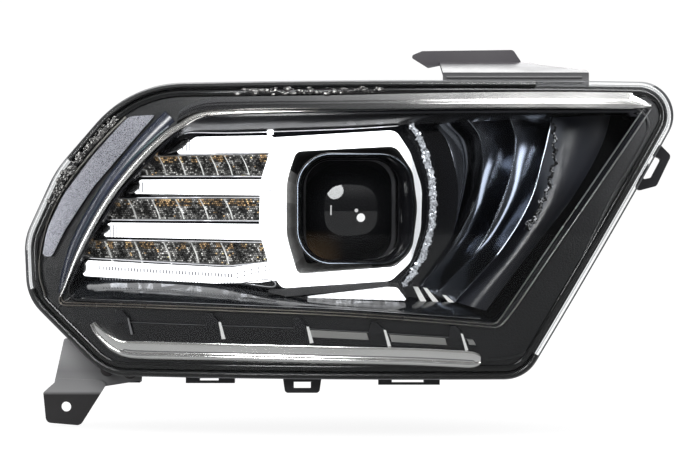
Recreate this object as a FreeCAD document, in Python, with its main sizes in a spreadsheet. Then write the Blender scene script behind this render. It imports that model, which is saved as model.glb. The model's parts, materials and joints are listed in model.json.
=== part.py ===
import FreeCAD, Part
import Sketcher
import math
import os
from FreeCAD import Placement, Rotation, Vector

# Car headlight assembly, in millimetres.
# +X runs along the lamp from its outboard (wrap-round) end to its inboard end, -Y points the way the
# light leaves, +Z is up.  The origin is the centre of the lower bracket's bolt hole, on its front face.

doc = FreeCAD.newDocument("headlight")
sheet = doc.addObject("Spreadsheet::Sheet", "Sizes")

SIZES = [
    # the front surface is part of a ball, so the lens falls away to both ends and to top and bottom
    ("dome_radius", 700.0), ("dome_x", 300.0), ("dome_z", 150.0), ("dome_front", -110.0),
    ("lens_wall", 3.0), ("lens_edge_round", 5.0), ("lens_depth", 17.0), ("leg_inset", 6.4),
    ("leg_wall", 2.4), ("leg_depth", 26.0), ("channel_wall", 5.6), ("channel_width", 4.4),
    ("housing_inset", 3.2),
    ("housing_wall", 2.6), ("tub_back", 60.0), ("bulge_half_width", 74.0), ("bulge_half_height", 80.0),
    ("bulge_back", 104.0), ("bulge_round", 18.0),
    ("bezel_gap", 7.0), ("bezel_wall", 2.2), ("bezel_inset", 4.4), ("bezel_skirt", 13.4),
    ("trim_wall", 1.6), ("frame_line", 1.8), ("frame_depth", 46.0),
    ("panel_gap", 46.0), ("panel_wall", 2.2), ("guide_gap", 24.0), ("guide_depth", 8.0),
    ("bar_height", 10.5), ("pocket_gap", 40.0), ("pocket_wall", 2.0), ("divider_wall", 1.2),
    # projector
    ("axis_x", 240.0), ("axis_z", 166.0), ("lens_half_width", 35.5), ("lens_half_height", 41.5),
    ("lens_round", 20.0), ("lens_ball", 62.0), ("lens_front", -60.0), ("lens_back", -40.0),
    ("holder_wall", 3.0), ("flange_back", 11.0), ("pivot_y", 5.0), ("yaw_pin", 3.0), ("running_fit", 0.05),
    ("loose_fit", 0.3), ("bowl_length", 52.0), ("bowl_mouth", 37.0), ("bowl_neck", 14.0), ("bowl_wall", 2.0),
    ("shutter_axis_y", -5.0), ("shutter_axis_drop", 22.0), ("shutter_axle", 1.5), ("shutter_wall", 1.2),
    ("crank_arm", 10.0), ("plunger_radius", 2.0), ("coil_radius", 5.5),
    # aiming frame and its two adjusters
    ("frame_half_width", 70.0), ("frame_half_height", 62.0), ("frame_thick", 10.0), ("pitch_pin", 4.0),
    ("ball_radius", 6.0), ("ball_fit", 0.25), ("screw_radius", 3.0), ("nut_radius", 5.6),
    ("yaw_arm", 52.0), ("pitch_arm", 64.0), ("pitch_ball_offset", -30.0), ("knob_radius", 9.0),
    # rear port and cap
    ("port_radius", 34.0), ("port_wall", 3.0), ("port_length", 12.0), ("cap_radius", 41.0), ("cap_wall", 2.5),
    # outside hardware
    ("hole_radius", 4.2), ("plate_wall", 3.0), ("clip_wall", 3.0), ("screw_head", 6.0),
    ("socket_width", 30.0), ("socket_height", 18.0), ("socket_depth", 24.0), ("pin_half", 0.7),
]

ROW = 1
VALUE = {}
for alias, amount in SIZES:
    sheet.set("A%d" % ROW, alias)
    sheet.set("B%d" % ROW, str(amount))
    sheet.setAlias("B%d" % ROW, alias)
    VALUE[alias] = amount
    ROW += 1
doc.recompute()


def number(size):
    """A plain number, or the value of a named size ('-name' is its negative)."""
    if isinstance(size, str):
        sign = -1.0 if size.startswith("-") else 1.0
        return sign * float(sheet.get(size.lstrip("-")))
    return float(size)


def bind(obj, path, size):
    if isinstance(size, str):
        sign = "-" if size.startswith("-") else ""
        obj.setExpression(path, sign + "Sizes." + size.lstrip("-"))


DOME = Vector(number("dome_x"), number("dome_front") + number("dome_radius"), number("dome_z"))
AXIS = Vector(number("axis_x"), 0.0, number("axis_z"))

# ---------------------------------------------------------------- PartDesign helpers


def new_body(name):
    body = doc.addObject("PartDesign::Body", name)
    body.Label = name
    return body


def new_sketch(body, name, role, offset=0.0):
    plane = [o for o in body.Origin.OriginFeatures if o.Role == role][0]
    sketch = body.newObject("Sketcher::SketchObject", name)
    sketch.AttachmentSupport = (plane, [""])
    sketch.MapMode = "FlatFace"
    sketch.AttachmentOffset = Placement(Vector(0, 0, offset), Rotation())
    return sketch


def closed_profile(sketch, points):
    """A closed outline of straight lines, every corner held by two dimensions."""
    first = sketch.GeometryCount
    spots = [(number(a), number(b)) for a, b in points]
    for start, end in zip(spots, spots[1:] + spots[:1]):
        sketch.addGeometry(Part.LineSegment(Vector(start[0], start[1], 0), Vector(end[0], end[1], 0)), False)
    count = len(points)
    for i in range(count):
        sketch.addConstraint(Sketcher.Constraint("Coincident", first + i, 2, first + (i + 1) % count, 1))
    for i, (a, b) in enumerate(points):
        for kind, size in (("DistanceX", a), ("DistanceY", b)):
            index = sketch.addConstraint(Sketcher.Constraint(kind, -1, 1, first + i, 1, number(size)))
            bind(sketch, "Constraints[%d]" % index, size)


def turned(name, at, points, along="Y"):
    """A body of revolution: points are (distance along the axis, radius)."""
    body = new_body(name)
    role, axis = ("YZ_Plane", "H_Axis") if along == "Y" else ("XZ_Plane", "H_Axis")
    sketch = new_sketch(body, name + "_profile", role)
    closed_profile(sketch, points)
    turn = body.newObject("PartDesign::Revolution", name + "_turn")
    turn.Profile = sketch
    turn.ReferenceAxis = (sketch, [axis])
    turn.Angle = 360
    doc.recompute()
    body.Placement = Placement(at, Rotation())
    return body


# ---------------------------------------------------------------- Part helpers


def feature(name, shape):
    obj = doc.addObject("Part::Feature", name)
    obj.Label = name
    obj.Shape = shape
    obj.Placement = Placement()
    return obj


def box(low, high):
    return Part.makeBox(high[0] - low[0], high[1] - low[1], high[2] - low[2], Vector(*low))


def rod(start, end, radius):
    way = Vector(*end) - Vector(*start)
    return Part.makeCylinder(radius, way.Length, Vector(*start), way)


def ball(gap):
    """The front surface moved back by gap."""
    return Part.makeSphere(number("dome_radius") - gap, DOME)


def rounded_wire(corners):
    """A closed wire in the XZ plane; each corner is (x, z, radius)."""
    edges = []
    count = len(corners)
    ends = []
    for i, (x, z, radius) in enumerate(corners):
        here = Vector(x, 0, z)
        before = Vector(corners[i - 1][0], 0, corners[i - 1][1])
        after = Vector(corners[(i + 1) % count][0], 0, corners[(i + 1) % count][1])
        into = (here - before).normalize()
        out = (after - here).normalize()
        turn = into.getAngle(out)
        if radius <= 0 or turn < 1e-4:
            ends.append((here, here, None))
            continue
        reach = radius * math.tan(turn / 2)
        start = here - into * reach
        end = here + out * reach
        inward = (out - into).normalize()
        middle = here + inward * (radius / math.cos(turn / 2) - radius)
        ends.append((start, end, middle))
    for i in range(count):
        start, end, middle = ends[i]
        if middle is not None:
            edges.append(Part.Arc(start, middle, end).toShape())
        follow = ends[(i + 1) % count][0]
        if (follow - end).Length > 1e-6:
            edges.append(Part.makeLine(end, follow))
    return Part.Wire(edges)


def ribbon_face(points, half_width):
    """A strip of even width along a smooth curve in the XZ plane."""
    left = []
    right = []
    last = len(points) - 1
    for i, (x, z) in enumerate(points):
        ax, az = points[max(i - 1, 0)]
        bx, bz = points[min(i + 1, last)]
        way = Vector(bx - ax, 0, bz - az).normalize()
        side = Vector(-way.z, 0, way.x)
        left.append(Vector(x, 0, z) + side * half_width)
        right.append(Vector(x, 0, z) - side * half_width)
    one = Part.BSplineCurve()
    one.interpolate(left)
    two = Part.BSplineCurve()
    two.interpolate(right)
    edges = [one.toShape(), Part.makeLine(left[-1], right[-1]), two.toShape()]
    edges.append(Part.makeLine(right[0], left[0]))
    return Part.Face(Part.Wire(Part.__sortEdges__(edges)))


def prism(face, front=-130.0, back=150.0):
    moved = face.copy()
    moved.translate(Vector(0, front, 0))
    return moved.extrude(Vector(0, back - front, 0))


def face_of(corners):
    return Part.Face(rounded_wire(corners))


def shell(face, front_gap, back_gap):
    """The part of a prism that lies between two depths behind the front surface."""
    return prism(face).common(ball(front_gap)).cut(ball(back_gap))


OUTLINE = Part.Face(
    rounded_wire(
        [
            (60.0, 270.5, 98.0),
            (-4.0, 200.0, 90.0),
            (-32.0, 143.0, 46.0),
            (-30.0, 93.0, 40.0),
            (38.0, 29.0, 46.0),
            (383.0, 29.0, 30.0),
            (526.0, 271.0, 27.0),
        ]
    )
)


def outline(inset):
    if inset == 0:
        return OUTLINE
    return OUTLINE.makeOffset2D(-inset)


WINDOW = [
    (114.0, 243.5, 6.0),
    (86.0, 219.0, 30.0),
    (50.0, 181.0, 60.0),
    (20.0, 135.0, 60.0),
    (1.0, 91.5, 9.0),
    (233.0, 83.5, 200.0),
    (360.0, 73.5, 12.0),
    (392.0, 112.0, 60.0),
    (486.0, 251.0, 5.0),
    (478.0, 247.5, 3.0),
]
WINDOW_FACE = face_of(WINDOW)


# ---------------------------------------------------------------- lens, seal and housing


def make_outer_lens():
    deep = number("lens_depth")
    block = prism(outline(0)).common(ball(0))
    rim = []
    for edge in block.Edges:
        middle = edge.valueAt((edge.FirstParameter + edge.LastParameter) / 2)
        if abs((middle - DOME).Length - number("dome_radius")) < 0.5:
            rim.append(edge)
    block = block.makeFillet(number("lens_edge_round"), rim)
    block = block.cut(ball(deep))
    hollow = prism(outline(number("lens_wall"))).common(ball(number("lens_wall")))
    cover = block.cut(hollow)
    leg_outer = number("leg_inset")
    within = prism(outline(leg_outer + number("leg_wall")))
    foot = prism(outline(0.4)).common(ball(deep - number("lens_wall"))).cut(ball(deep)).cut(within)
    leg = prism(outline(leg_outer)).common(ball(deep - 1)).cut(ball(number("leg_depth"))).cut(within)
    joined = cover.fuse([foot, leg]).removeSplitter()
    return feature("outer_lens", joined)


def make_housing():
    wall = number("housing_wall")
    top = number("lens_depth") + 0.4
    floor = number("leg_depth") + 1.6
    inner = number("channel_wall") + number("channel_width")
    edge = number("housing_inset")
    ring = prism(outline(edge)).common(ball(top)).cut(ball(floor + wall)).cut(prism(outline(inner + wall)))
    ring = ring.cut(prism(outline(number("channel_wall"))).common(ball(0)).cut(ball(floor)).cut(
        prism(outline(inner))))
    tub_back = number("tub_back")
    tub = round_back(prism(outline(inner), back=tub_back), tub_back, 8.0).common(ball(top))
    tub = tub.cut(round_back(prism(outline(inner + wall), back=tub_back - wall), tub_back - wall, 5.4))
    half_w = number("bulge_half_width")
    half_h = number("bulge_half_height")
    back = number("bulge_back")
    bulge = prism(bulge_face(half_w, half_h, number("bulge_round")), tub_back - wall, back)
    bulge = round_back(bulge, back, 7.0)
    hollow = bulge_face(half_w - wall, half_h - wall, number("bulge_round") - wall)
    hollow = round_back(prism(hollow, tub_back - wall, back - wall), back - wall, 4.4)
    port = number("port_radius")
    collar_end = (AXIS.x, back + number("port_length"), AXIS.z)
    collar = rod((AXIS.x, back - wall, AXIS.z), collar_end, port + number("port_wall"))
    way_in = rod((AXIS.x, back - 2 * wall, AXIS.z), (AXIS.x, back + 20, AXIS.z), port)
    body = ring.fuse([tub, bulge, collar]).cut([hollow, way_in])
    extras = []
    cuts = []
    # posts that carry the aiming frame's side pins
    for side in (-1, 1):
        near = AXIS.x + side * (number("frame_half_width") + 2.0)
        far = AXIS.x + side * (number("frame_half_width") + 14.0)
        low = min(near, far)
        high = max(near, far)
        extras.append(box((low, -3.0, AXIS.z - 9), (high, tub_back - wall + 1, AXIS.z + 9)))
        cuts.append(rod((low - 1, number("pivot_y"), AXIS.z), (high + 1, number("pivot_y"), AXIS.z),
                        number("pitch_pin") + number("running_fit")))
    # bushings for the two adjusting screws
    for x, z in (YAW_BALL, PITCH_BALL):
        extras.append(rod((x, back - 8, z), (x, back + 4, z), 8.0))
        cuts.append(rod((x, back - 10, z), (x, back + 12, z), number("screw_radius") + number("running_fit")))
    # stiffening ribs on the back of the tub
    for x, z0, z1 in ((30.0, 108.0, 165.0), (140.0, 62.0, 198.0), (346.0, 62.0, 240.0), (386.0, 80.0, 236.0)):
        extras.append(box((x - 1.25, tub_back - 0.5, z0), (x + 1.25, tub_back + 7, z1)))
    for z, x0, x1 in ((60.0, 72.0, 378.0), (206.0, 346.0, 446.0), (206.0, 76.0, 108.0)):
        extras.append(box((x0, tub_back - 0.5, z - 1.25), (x1, tub_back + 7, z + 1.25)))
    for x in (200.0, 280.0):
        for side in (-1, 1):
            z0 = AXIS.z + side * (half_h - 1)
            edge = x - 1.25
            web = Part.Face(Part.makePolygon([
                Vector(edge, tub_back - 1, z0), Vector(edge, back - 12, z0),
                Vector(edge, tub_back - 1, z0 + side * 9), Vector(edge, tub_back - 1, z0)]))
            extras.append(web.extrude(Vector(2.5, 0, 0)))
    # bosses for the brackets, outside the tub and behind the seal channel
    bosses = [box((318.0, -46.0, 257.5), (439.0, -8.0, 262.0)), box((22.0, 6.0, 20.0), (62.0, 26.0, 44.0))]
    # neck for the breather and window for the connector socket
    extras.append(rod((120.0, tub_back - 1, 214.0), (120.0, tub_back + 8, 214.0), 9.0))
    cuts.append(rod((120.0, tub_back - 6, 214.0), (120.0, tub_back + 10, 214.0), 5.0))
    half = (number("socket_width") / 2, number("socket_height") / 2)
    cuts.append(box((SOCKET[0] - half[0] + 2, tub_back - 6, SOCKET[1] - half[1] + 2),
                    (SOCKET[0] + half[0] - 2, tub_back + 4, SOCKET[1] + half[1] - 2)))
    inside = prism(outline(inner + wall), -20.0, tub_back - wall)
    bosses = [piece.cut(inside) for piece in bosses]
    body = body.fuse(extras + bosses).cut(cuts).removeSplitter()
    return feature("housing_shell", body)


def round_back(solid, back, radius):
    """Rounds the edges of a solid's flat back."""
    edges = [e for e in solid.Edges if e.BoundBox.YMin > back - 0.01]
    return solid.makeFillet(radius, edges)


def bulge_face(half_w, half_h, radius):
    x, z = AXIS.x, AXIS.z
    return face_of([(x - half_w, z + half_h, radius), (x - half_w, z - half_h, radius),
                    (x + half_w, z - half_h, radius), (x + half_w, z + half_h, radius)])


def make_seal():
    floor = number("leg_depth") + 1.6
    wide = number("channel_wall")
    inner = wide + number("channel_width")
    bead = prism(outline(wide)).common(ball(number("lens_depth") + 2.0))
    bead = bead.cut(ball(floor)).cut(prism(outline(inner)))
    leg = number("leg_inset")
    slot = prism(outline(leg)).common(ball(0)).cut(ball(number("leg_depth")))
    slot = slot.cut(prism(outline(leg + number("leg_wall"))))
    return feature("lens_seal", bead.cut(slot))


# ---------------------------------------------------------------- bezels and trim


def make_outer_bezel():
    gap = number("bezel_gap")
    wall = number("bezel_wall")
    inset = number("bezel_inset")
    skin = shell(outline(inset), gap, gap + wall).cut(prism(WINDOW_FACE.makeOffset2D(1.0)))
    skirt = shell(outline(inset), gap, number("bezel_skirt")).cut(prism(outline(inset + wall)))
    return feature("outer_bezel", skin.fuse(skirt).removeSplitter())


def make_trims():
    gap = number("bezel_gap")
    wall = number("trim_wall")
    band = face_of([(52.0, 236.5, 4.0), (25.5, 206.5, 60.0), (-6.0, 165.0, 60.0), (-18.0, 133.0, 3.0),
                    (-12.0, 130.0, 3.0), (3.0, 152.0, 60.0), (38.0, 196.0, 60.0), (76.0, 241.5, 3.0),
                    (62.0, 246.0, 4.0)])
    keep_off = prism(WINDOW_FACE.makeOffset2D(0.3))
    feature("side_trim_band", shell(band, gap - wall, gap).cut(keep_off))
    strip = face_of([(101.0, 233.5, 2.0), (116.0, 246.5, 14.0), (136.0, 251.0, 40.0), (241.0, 250.0, 0.0),
                     (477.0, 251.5, 6.0), (488.0, 252.5, 2.0), (486.0, 259.5, 4.0), (477.0, 261.0, 6.0),
                     (241.0, 261.0, 0.0), (136.0, 257.5, 60.0), (112.0, 251.5, 14.0)])
    feature("upper_trim_strip", shell(strip, gap - wall, gap).cut(keep_off))
    line = number("frame_line")
    ring = shell(WINDOW_FACE, gap - 1.0, number("frame_depth"))
    ring = ring.cut(prism(WINDOW_FACE.makeOffset2D(-line)))
    feature("window_frame", ring)


GILLS = [
    ("outer", 62.0, [(406.5, 240.0), (397.0, 206.0), (380.5, 162.0), (355.0, 126.5), (328.0, 93.0)]),
    ("middle", 62.0, [(370.5, 240.0), (374.0, 211.0), (361.5, 170.0), (341.0, 131.0), (312.0, 95.0)]),
    ("inner", 62.0, [(337.5, 240.0), (348.0, 209.0), (336.5, 160.0), (318.0, 130.5), (296.0, 99.0)]),
]


def make_inner_bezel():
    gap = number("panel_gap")
    wall = number("panel_wall")
    panel = shell(WINDOW_FACE.makeOffset2D(-number("frame_line") - 0.4), gap, gap + wall)
    panel = panel.cut(prism(shroud_face(5.2)))
    for name, face in POCKETS:
        panel = panel.cut(prism(face.makeOffset2D(-0.4)))
    feature("inner_bezel", panel)


def make_gills():
    deep = number("panel_gap")
    for order, (name, top, curve) in enumerate(GILLS):
        face = ribbon_face(curve, 3.0)
        fin = shell(face, 20.0 + 3.0 * order, deep)
        fin = fin.common(prism(WINDOW_FACE.makeOffset2D(-number("frame_line") - 0.8)))
        feature(name + "_gill", fin)
    marker = ribbon_face([(405.0, 213.0), (402.0, 190.0), (395.0, 172.0), (381.0, 152.0)], 1.8)
    feature("side_marker_lens", shell(marker, 14.0, 19.6))


def shroud_face(grow=0.0):
    x = AXIS.x + 3.0
    z = AXIS.z - 0.5
    half_w = 42.0 + grow
    half_h = 43.5 + grow
    return face_of([(x - half_w, z + half_h, 24.0), (x - half_w, z - half_h, 24.0),
                    (x + half_w, z - half_h, 24.0), (x + half_w, z + half_h, 24.0)])


def section(x, z, half_w, half_h, radius, y):
    wire = rounded_wire([(x - half_w, z + half_h, radius), (x - half_w, z - half_h, radius),
                         (x + half_w, z - half_h, radius), (x + half_w, z + half_h, radius)])
    wire.translate(Vector(0, y, 0))
    return wire


def shroud_block(grow, front=0.0):
    """The solid block of the funnel, wide and set inboard at the front."""
    x, z = AXIS.x, AXIS.z
    return Part.makeLoft([section(x + 3, z - 0.5, 44.5 + grow, 46.0 + grow, 26.0 + grow, -75.0 - front),
                          section(x, z, 42.5 + grow, 48.5 + grow, 24.0 + grow, -50.0 + front)], True, True)


def make_shroud():
    """A square funnel that narrows to the projector lens."""
    feature("projector_shroud", shroud_block(0.0).cut(shroud_block(-2.0, 0.5)))


# ---------------------------------------------------------------- light guides and their optics

HALO_OUTER = [(168.0, 228.0, 3.0), (276.0, 231.0, 14.0), (300.0, 196.0, 30.0), (300.0, 148.0, 34.0),
              (272.0, 111.5, 8.0), (184.0, 103.0, 6.0), (168.0, 118.0, 12.0)]
HALO_INNER = [(196.0, 212.5, 9.0), (280.0, 216.5, 14.0), (288.0, 194.0, 30.0), (288.0, 150.0, 30.0),
              (270.0, 120.5, 10.0), (198.0, 115.0, 9.0), (188.5, 140.0, 40.0), (188.5, 192.0, 40.0)]
BARS = [
    ("upper_light_bar", [(105.0, 225.5), (168.0, 228.0), (168.0, 213.5), (97.0, 215.0)]),
    ("second_light_bar", [(70.0, 191.5), (168.0, 191.5), (168.0, 178.5), (61.5, 180.5)]),
    ("third_light_bar", [(37.0, 155.0), (168.0, 155.0), (168.0, 142.5), (30.5, 142.5)]),
    ("lower_light_bar", [(18.0, 124.0), (168.0, 119.5), (183.0, 103.5), (134.0, 106.5), (59.0, 110.0),
                         (15.5, 114.5)]),
]
def pocket(corners):
    """A pocket's outline, stopped short of the window frame."""
    return face_of(corners).common(WINDOW_FACE.makeOffset2D(-2.8)).Faces[0]


POCKETS = [
    ("upper", pocket([(100.0, 213.5, 2.0), (78.5, 212.0, 4.0), (66.0, 194.0, 3.0), (168.0, 194.0, 3.0),
                       (170.0, 214.0, 3.0)])),
    ("middle", pocket([(53.0, 177.0, 3.0), (37.0, 157.5, 3.0), (168.0, 157.5, 3.0), (168.0, 176.5, 3.0)])),
    ("lower", pocket([(22.0, 141.5, 2.0), (17.0, 128.0, 3.0), (144.0, 120.5, 6.0), (172.0, 124.0, 4.0),
                       (168.0, 140.0, 3.0)])),
]


def make_guides():
    gap = number("guide_gap")
    deep = number("guide_depth")
    halo = face_of(HALO_OUTER).cut(face_of(HALO_INNER))
    feature("halo_light_guide", shell(halo, gap, gap + deep))
    for name, points in BARS:
        face = face_of([(x, z, 0.0) for x, z in points])
        if name == "lower_light_bar":
            face = face.cut(face_of(HALO_OUTER).makeOffset2D(0.4))
        feature(name, shell(face, gap, gap + deep))
    arc = ribbon_face([(290.5, 234.0), (303.5, 208.0), (309.0, 181.0), (309.0, 160.0), (302.5, 126.5),
                       (285.0, 105.5)], 2.4)
    feature("outer_arc_guide", shell(arc, gap, gap + deep + 4))
    wedge = face_of([(204.0, 97.0, 1.0), (277.0, 104.0, 3.0), (286.0, 94.5, 2.0), (204.0, 93.5, 1.0)])
    feature("lower_wedge_guide", shell(wedge, gap + 1, gap + deep))


def make_halo_wall():
    """The faceted wall that runs back from the halo's inner edge to the shroud."""
    gap = number("guide_gap") + number("guide_depth")
    ring = face_of(HALO_INNER).cut(face_of(HALO_INNER).makeOffset2D(-1.8))
    wall = shell(ring, gap - 5.6, gap + 10.0)
    feature("halo_inner_wall", wall.cut(shroud_block(1.2)))


def make_pockets():
    deep = number("pocket_gap")
    wall = number("pocket_wall")
    for name, face in POCKETS:
        inner = face.makeOffset2D(-0.6)
        tray = shell(inner, deep - 4.0, number("panel_gap") + 6.0)
        tray = tray.cut(shell(face.makeOffset2D(-0.6 - wall), deep - 10.0, deep))
        bounds = face.BoundBox
        pieces = [tray]
        slats = 5
        for i in range(1, slats + 1):
            x = bounds.XMin + 14.0 + (bounds.XLength - 22.0) * i / (slats + 1.0)
            leaning = face_of([(x - 3.0, bounds.ZMax + 5, 0), (x - 1.8, bounds.ZMax + 5, 0),
                               (x + 4.2, bounds.ZMin - 5, 0), (x + 3.0, bounds.ZMin - 5, 0)])
            slat = shell(leaning, deep - 4.0, deep + 0.5).common(prism(face.makeOffset2D(-1.2)))
            pieces.append(slat)
        feature("led_reflector_" + name, pieces[0].fuse(pieces[1:]).removeSplitter())


def make_led_boards():
    boards = []
    for name, face in POCKETS:
        board = shell(face.makeOffset2D(-3.0), number("panel_gap") + 6.3, number("panel_gap") + 7.9)
        boards.append(board)
    feature("led_boards", Part.makeCompound([solid for board in boards for solid in board.Solids]))


# ---------------------------------------------------------------- lower blade


def make_blade():
    gap = number("bezel_gap")
    blade = face_of([(23.0, 75.0, 2.0), (56.0, 58.5, 6.0), (200.0, 53.5, 0.0), (338.0, 50.5, 4.0),
                     (348.0, 44.0, 4.0), (341.0, 38.5, 4.0), (200.0, 44.5, 0.0), (52.0, 50.5, 8.0)])
    feature("lower_blade", shell(blade, gap - 3.2, gap))
    ribs = []
    for x, z in ((53.0, 73.5), (131.0, 71.0), (202.0, 67.5), (265.0, 65.0), (329.0, 61.5)):
        rib = face_of([(x - 10.0, z + 8.5, 2.0), (x + 1.0, z + 8.5, 2.0), (x + 9.0, z - 9.5, 2.0),
                       (x - 3.0, z - 9.5, 2.0)])
        ribs.append(shell(rib, gap - 2.6, gap))
    feature("blade_ribs", Part.makeCompound([solid for rib in ribs for solid in rib.Solids]))
    panels = []
    for x0, x1, z in ((207.0, 256.0, 62.5), (272.0, 318.0, 59.0)):
        panel = face_of([(x0, z + 3.5, 1.0), (x1 - 5, z + 2.5, 1.0), (x1, z - 3.5, 1.0),
                         (x0 + 5, z - 2.5, 1.0)])
        panels.append(shell(panel, gap - 1.2, gap))
    feature("blade_reflectors", Part.makeCompound([solid for panel in panels for solid in panel.Solids]))


# ---------------------------------------------------------------- brackets and clips

SOCKET = (420.0, 150.0)
UPPER_HOLE = (346.0, 42.0, 303.0)
YAW_BALL = (AXIS.x + number("yaw_arm"), AXIS.z)
PITCH_BALL = (AXIS.x + number("pitch_ball_offset"), AXIS.z - number("pitch_arm"))


def make_lower_bracket():
    thick = number("plate_wall")
    tab = face_of([(-19.5, 12.0, 2.0), (-17.0, -13.5, 5.0), (12.0, -16.0, 5.0), (36.0, 22.0, 4.0),
                   (-6.0, 24.0, 4.0)])
    tab = prism(tab, 0.0, thick).cut(rod((0, -2, 0), (0, thick + 2, 0), number("hole_radius")))
    gusset = prism(face_of([(-12.0, 13.0, 1.0), (26.0, 16.0, 3.0), (64.0, 22.0, 3.0), (64.0, 50.0, 2.0),
                            (-2.0, 58.0, 2.0)]), thick, 2 * thick)
    tub = prism(outline(number("channel_wall") + number("channel_width")))
    feature("lower_bracket", tab.fuse(gusset).cut(tub).removeSplitter())


def make_upper_bracket():
    """A foot on the housing, a riser, a plate sloping up to the back, a lip and a flange behind it."""
    thick = number("plate_wall")
    front = -46.0
    back = 20.0
    low = 278.0
    high = 291.0
    slope = (high - low) / (back - front - thick)
    rise = thick * math.sqrt(1.0 + slope * slope)
    path = [(front, 262), (-12, 262), (-12, 265), (front + thick, 265), (front + thick, low), (back, high),
            (back, high + rise), (front, low - thick * slope + rise), (front, 262)]
    side = Part.Face(Part.makePolygon([Vector(318.0, y, z) for y, z in path]))
    sweep = side.extrude(Vector(121.0, 0, 0))
    corner = [(388, 24), (406, 0), (439, -32), (460, -32), (460, 40), (388, 40), (388, 24)]
    trim = Part.Face(Part.makePolygon([Vector(x, y, 0) for x, y in corner]))
    sweep = sweep.cut(trim.extrude(Vector(0, 0, 400)))
    lip = face_of([(292.0, 299.0, 2.0), (303.0, 303.5, 3.0), (381.0, 304.5, 4.0), (388.0, 294.0, 3.0),
                   (386.0, 291.0, 0.0), (318.0, 291.0, 0.0), (308.0, 289.0, 2.0)])
    lip = prism(lip, back, back + thick)
    x, y, z = UPPER_HOLE
    flange = box((318.0, back, z - thick), (374.0, y + 16.0, z))
    hole = rod((x, y, z - thick - 1), (x, y, z + 1), number("hole_radius"))
    feature("upper_bracket", sweep.fuse([lip, flange]).cut(hole).removeSplitter())


def make_screws():
    head = number("screw_head")
    spots = []
    for x in (370.0, 412.0):
        spots.append(((x, -28.0, 265.0), (0, 0, 1), 12.0))
    for x, z in ((35.0, 31.5), (54.0, 29.5)):
        spots.append(((x, 3.0, z), (0, -1, 0), 8.0))
    return spots, head


def make_clips():
    wall = number("clip_wall")
    pieces = []
    for x0, x1, front, back in ((106.0, 146.0, -61.0, -48.0), (264.0, 314.0, -81.0, -70.0)):
        base = box((x0, front, 24.0), (x1, back, 31.0))
        base = base.cut(box((x0 + 11, -90.0, 25.5), (x1 - 13, -30.0, 28.0)))
        pieces.append(base)
    loop = face_of([(186.0, 31.0, 1.0), (188.0, 17.0, 3.0), (216.0, 17.0, 3.0), (218.0, 31.0, 1.0)])
    loop = prism(loop, -75.0, -66.0)
    loop = loop.cut(box((195.0, -90.0, 20.5), (209.0, -40.0, 26.0)))
    pieces.append(loop)
    side = face_of([(494.0, 222.0, 3.0), (505.0, 211.0, 4.0), (493.0, 186.0, 4.0), (474.0, 181.0, 3.0)])
    eye = face_of([(489.5, 211.5, 1.0), (497.0, 208.0, 2.0), (489.0, 193.0, 2.0), (481.5, 191.5, 1.0)])
    side = prism(side, -61.0, -53.0).cut(prism(eye, -80.0, -20.0))
    pieces.append(side)
    body = prism(outline(0))
    cut = [piece.cut(body) for piece in pieces]
    return cut


# ---------------------------------------------------------------- projector


def square_prism(half_w, half_h, radius, front, back):
    x, z = AXIS.x, AXIS.z
    return prism(face_of([(x - half_w, z + half_h, radius), (x - half_w, z - half_h, radius),
                          (x + half_w, z - half_h, radius), (x + half_w, z + half_h, radius)]), front, back)


def make_projector():
    half_w = number("lens_half_width")
    half_h = number("lens_half_height")
    radius = number("lens_round")
    front = number("lens_front")
    back = number("lens_back")
    # thick convex lens, cut to a rounded square
    dome = Part.makeSphere(number("lens_ball"), Vector(AXIS.x, front + number("lens_ball"), AXIS.z))
    glass = square_prism(half_w, half_h, radius, front - 1, back).common(dome)
    feature("projector_lens", glass)
    wall = number("holder_wall")
    outer = square_prism(half_w + wall, half_h + wall, radius + wall, back, number("flange_back"))
    inner = square_prism(half_w - 1.5, half_h - 1.5, radius - 1.5, back - 1, number("flange_back") + 1)
    lip = square_prism(half_w + wall, half_h + wall, radius + wall, back - 5.0, back).cut(
        square_prism(half_w + 0.05, half_h + 0.05, radius + 0.05, back - 6.0, back + 1))
    flange = square_prism(half_w + 5, half_h + 2.5, radius + 4, -1.0, number("flange_back")).cut(inner)
    holder = outer.cut(inner).fuse([lip, flange])
    pivot = number("pivot_y")
    x, z = AXIS.x, AXIS.z
    pins = [rod((x, pivot, z + side * (half_h + 1)), (x, pivot, z + side * 59.0), number("yaw_pin"))
            for side in (-1, 1)]
    arm = box((x + half_w + 2, pivot - 5, z - 6), (x + 47, pivot + 5, z + 6))
    cup = box((x + 44, pivot - 9, z - 9), (x + 60, pivot + 5, z + 9))
    ball_centre = Vector(YAW_BALL[0], pivot, YAW_BALL[1])
    socket = Part.makeSphere(number("ball_radius") + number("ball_fit"), ball_centre)
    mouth = rod((YAW_BALL[0], pivot, YAW_BALL[1]), (YAW_BALL[0], pivot + 10, YAW_BALL[1]), 5.6)
    holder = holder.fuse(pins + [arm, cup]).cut([socket, mouth]).removeSplitter()
    feature("lens_holder", holder)
    drop = number("shutter_axis_drop")
    axle_y = number("shutter_axis_y")
    axle = rod((x - half_w + 1.5, axle_y, z - drop), (x + half_w - 1.5, axle_y, z - drop),
               number("shutter_axle"))
    feature("shutter_axle", axle)


def bowl_profile(grow):
    """Half of an ellipse-like bowl, from the mouth back to the neck."""
    y0 = number("flange_back")
    y1 = y0 + number("bowl_length")
    mouth = number("bowl_mouth") + grow
    neck = number("bowl_neck") + grow
    middle = y0 + number("bowl_length") * 0.62
    return y0, y1, mouth, neck, middle, (mouth + neck) / 2 + 5.0


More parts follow.
